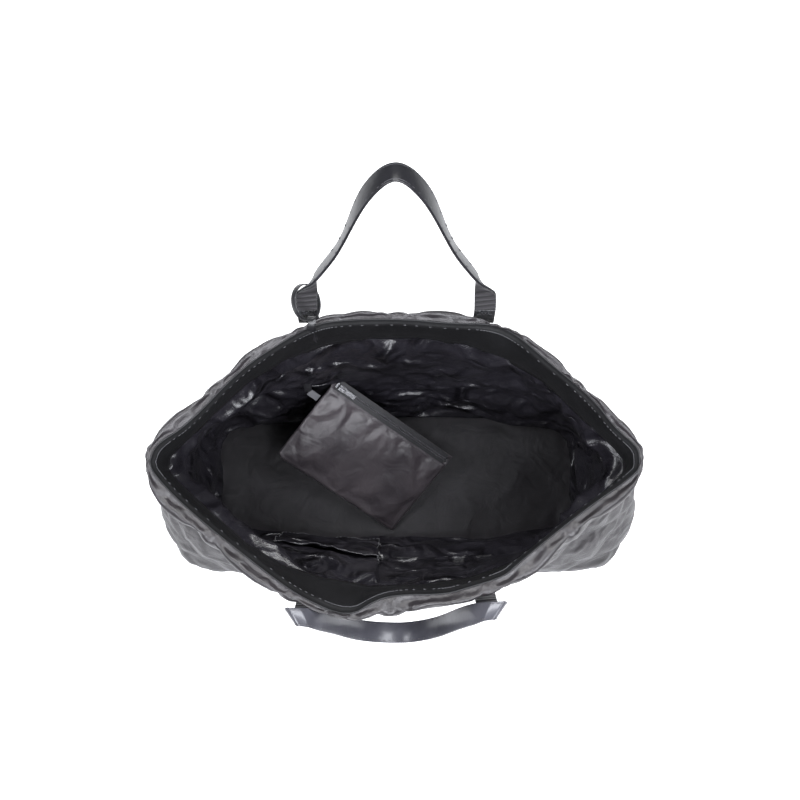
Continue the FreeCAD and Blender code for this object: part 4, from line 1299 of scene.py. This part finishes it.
def build_loop():
    """The tether's end hitched round the left leg of the back handle, leaning to the right."""
    low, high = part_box("back_handle_foot_left")
    middle = BACK_PIVOT + np.array([(low.x + high.x) / 2, 0.0040, 0.0160])
    rising = np.array([0.0, math.cos(LOOP_RISE), math.sin(LOOP_RISE)])
    sideways = np.array([math.cos(LOOP_TILT), 0.0, -math.sin(LOOP_TILT)])
    angle = np.linspace(0, 2 * math.pi, 96, endpoint=False)[:, None]
    path = middle + LOOP_RADII[0] * np.cos(angle) * rising + LOOP_RADII[1] * np.sin(angle) * sideways
    loop = sweep("tether_loop_band", path, unit(path - middle), rounded_section(TETHER_WIDTH, 0.0013),
                 TETHER_LEATHER, closed=True)
    place(loop, "back_handle", "tether_leather", "tether_loop")


# -------------------------------------------------------------------------------------------- zips


COIL_PITCH = 0.0016
# Rings of one coil loop along the zip: place in the pitch and share of its full size.
COIL_RINGS = ((-0.42, 0.55), (-0.25, 0.97), (0.25, 0.97), (0.42, 0.55))


def build_coil(name, node, axes, body):
    """Row of nylon coil loops in place of a plain CAD strip, along the first of the axes."""
    local = read_points(frame["nodes"][node]) @ axes.T
    low, high = local.min(0), local.max(0)
    count = int((high[0] - low[0]) / COIL_PITCH)
    middle, reach = (low + high) / 2, (high - low) / 2
    ring = circle(1.0)
    points = []
    for x in np.linspace(low[0] + COIL_PITCH / 2, high[0] - COIL_PITCH / 2, count):
        for share, swell in COIL_RINGS:
            for c, s in ring:
                points.append((x + share * COIL_PITCH, middle[1] + reach[1] * swell * c,
                               middle[2] + reach[2] * swell * s))
    faces = bead_faces(count, len(COIL_RINGS), len(ring))
    coil = mesh_object(name, np.array(points) @ axes, faces, COIL_PLASTIC)
    place(coil, body, "zip_coil", node)


def build_zips(pouch):
    """Coil loops in place of the plain strips; the metal parts and tapes stay as designed."""
    along = unit(np.array(JOINTS["pocket_zip_slide"]["axis"]))
    upward = -unit(np.array(JOINTS["pocket_puller_flip"]["axis"]))
    pocket = np.array([along, upward, np.cross(along, upward)])
    for zipper, axes, body in (("pouch", pouch, "pouch"), ("pocket", pocket, "bag")):
        for half in ("upper", "lower"):
            build_coil("%s_coil_%s" % (zipper, half), "%s_zip_coil_%s" % (zipper, half), axes, body)


def dress_cad_nodes():
    """Materials and soft edges for the CAD pieces that are shown as they are."""
    looks = {"zip_tape": TAPE_CLOTH, "zip_metal": METAL, "tether_leather": TETHER_LEATHER,
             "lining_satin": LINING_CLOTH}
    rows = {row["node"]: row["material_slot"] for row in frame["record"]["subparts"]}
    for name, node in frame["nodes"].items():
        if node.hide_render:
            continue
        node.data.materials.clear()
        node.data.materials.append(looks[rows[name]])
        if rows[name] in ("zip_metal", "tether_leather"):
            edge = node.modifiers.new("edge", "BEVEL")
            edge.width = 0.00025
            edge.segments = 2


# ------------------------------------------------------------------------------------------- stage


def area_light(name, position, target, size, power, color=(1, 1, 1)):
    """Softbox aimed at a point."""
    data = bpy.data.lights.new(name, "AREA")
    data.shape = "RECTANGLE"
    data.size, data.size_y = size
    data.energy = power
    data.color = color
    made = bpy.data.objects.new(name, data)
    made.location = position
    made.rotation_mode = "QUATERNION"
    made.rotation_quaternion = (Vector(target) - Vector(position)).to_track_quat("-Z", "Y")
    bpy.context.scene.collection.objects.link(made)


FLOOR_HALF = 4.0


def build_stage():
    """Pale floor, surroundings that look white and light the bag softly, and softboxes round it."""
    world = bpy.data.worlds.new("studio")
    world.use_nodes = True
    bpy.context.scene.world = world
    tree = world.node_tree
    background = tree.nodes["Background"]
    rays = add(tree, "LightPath")
    strength = add(tree, "MapRange", {"Value": rays.outputs["Is Camera Ray"], "To Min": 0.10,
                                      "To Max": 1.0})
    tree.links.new(strength.outputs["Result"], background.inputs["Strength"])
    background.inputs["Color"].default_value = (1, 1, 1, 1)
    corners = [(-FLOOR_HALF, -FLOOR_HALF, 0), (FLOOR_HALF, -FLOOR_HALF, 0),
               (FLOOR_HALF, FLOOR_HALF, 0), (-FLOOR_HALF, FLOOR_HALF, 0)]
    material, shader = new_material("pale_floor")
    shader.inputs["Base Color"].default_value = (0.93, 0.93, 0.93, 1)
    shader.inputs["Roughness"].default_value = 0.9
    rays = add(material.node_tree, "LightPath")
    glow = add(material.node_tree, "MapRange", {"Value": rays.outputs["Is Camera Ray"],
                                                "To Min": 0.0, "To Max": 0.80})
    material.node_tree.links.new(glow.outputs["Result"], shader.inputs["Emission Strength"])
    shader.inputs["Emission Color"].default_value = (1, 1, 1, 1)
    floor = mesh_object("floor", corners, [(0, 1, 2, 3)], material)
    aim = (0, 0, 0.25)
    cool = (0.93, 0.95, 1.0)
    area_light("left_box", (-1.3, 0.2, 1.9), aim, (0.5, 1.2), 26, cool)
    area_light("right_box", (1.3, 0.1, 2.0), aim, (0.5, 1.2), 24, cool)
    area_light("back_box", (0.1, 1.3, 2.0), aim, (1.4, 0.4), 26)
    area_light("front_box", (0.0, -1.5, 1.8), aim, (1.4, 0.5), 36, cool)
    area_light("top_box", (0.5, -0.8, 2.5), aim, (0.7, 0.7), 26, cool)


CAMERA_ELEVATION = math.radians(83)
CAMERA_DISTANCE = 1.70
CAMERA_LENS = 67.2
CAMERA_TARGET = Vector((0.0045, 0.0700, RIM))


def build_camera():
    """Almost straight above the open mouth, leaning a little to the front."""
    camera = bpy.data.objects.new("camera", bpy.data.cameras.new("camera"))
    camera.data.lens = CAMERA_LENS
    camera.data.sensor_width = 36
    back = Vector((0, -math.cos(CAMERA_ELEVATION), math.sin(CAMERA_ELEVATION)))
    camera.location = CAMERA_TARGET + back * CAMERA_DISTANCE
    camera.rotation_mode = "QUATERNION"
    camera.rotation_quaternion = (-back).to_track_quat("-Z", "Y")
    bpy.context.scene.collection.objects.link(camera)
    bpy.context.scene.camera = camera
    bpy.context.scene.view_settings.view_transform = "Standard"


build_shell()
build_underside()
build_facing()
build_slip_pocket(*build_lining())
build_lining_base()
build_zips(build_pouch())
build_back_handle()
build_front_handle()
build_tether()
build_loop()
dress_cad_nodes()
build_stage()
build_camera()
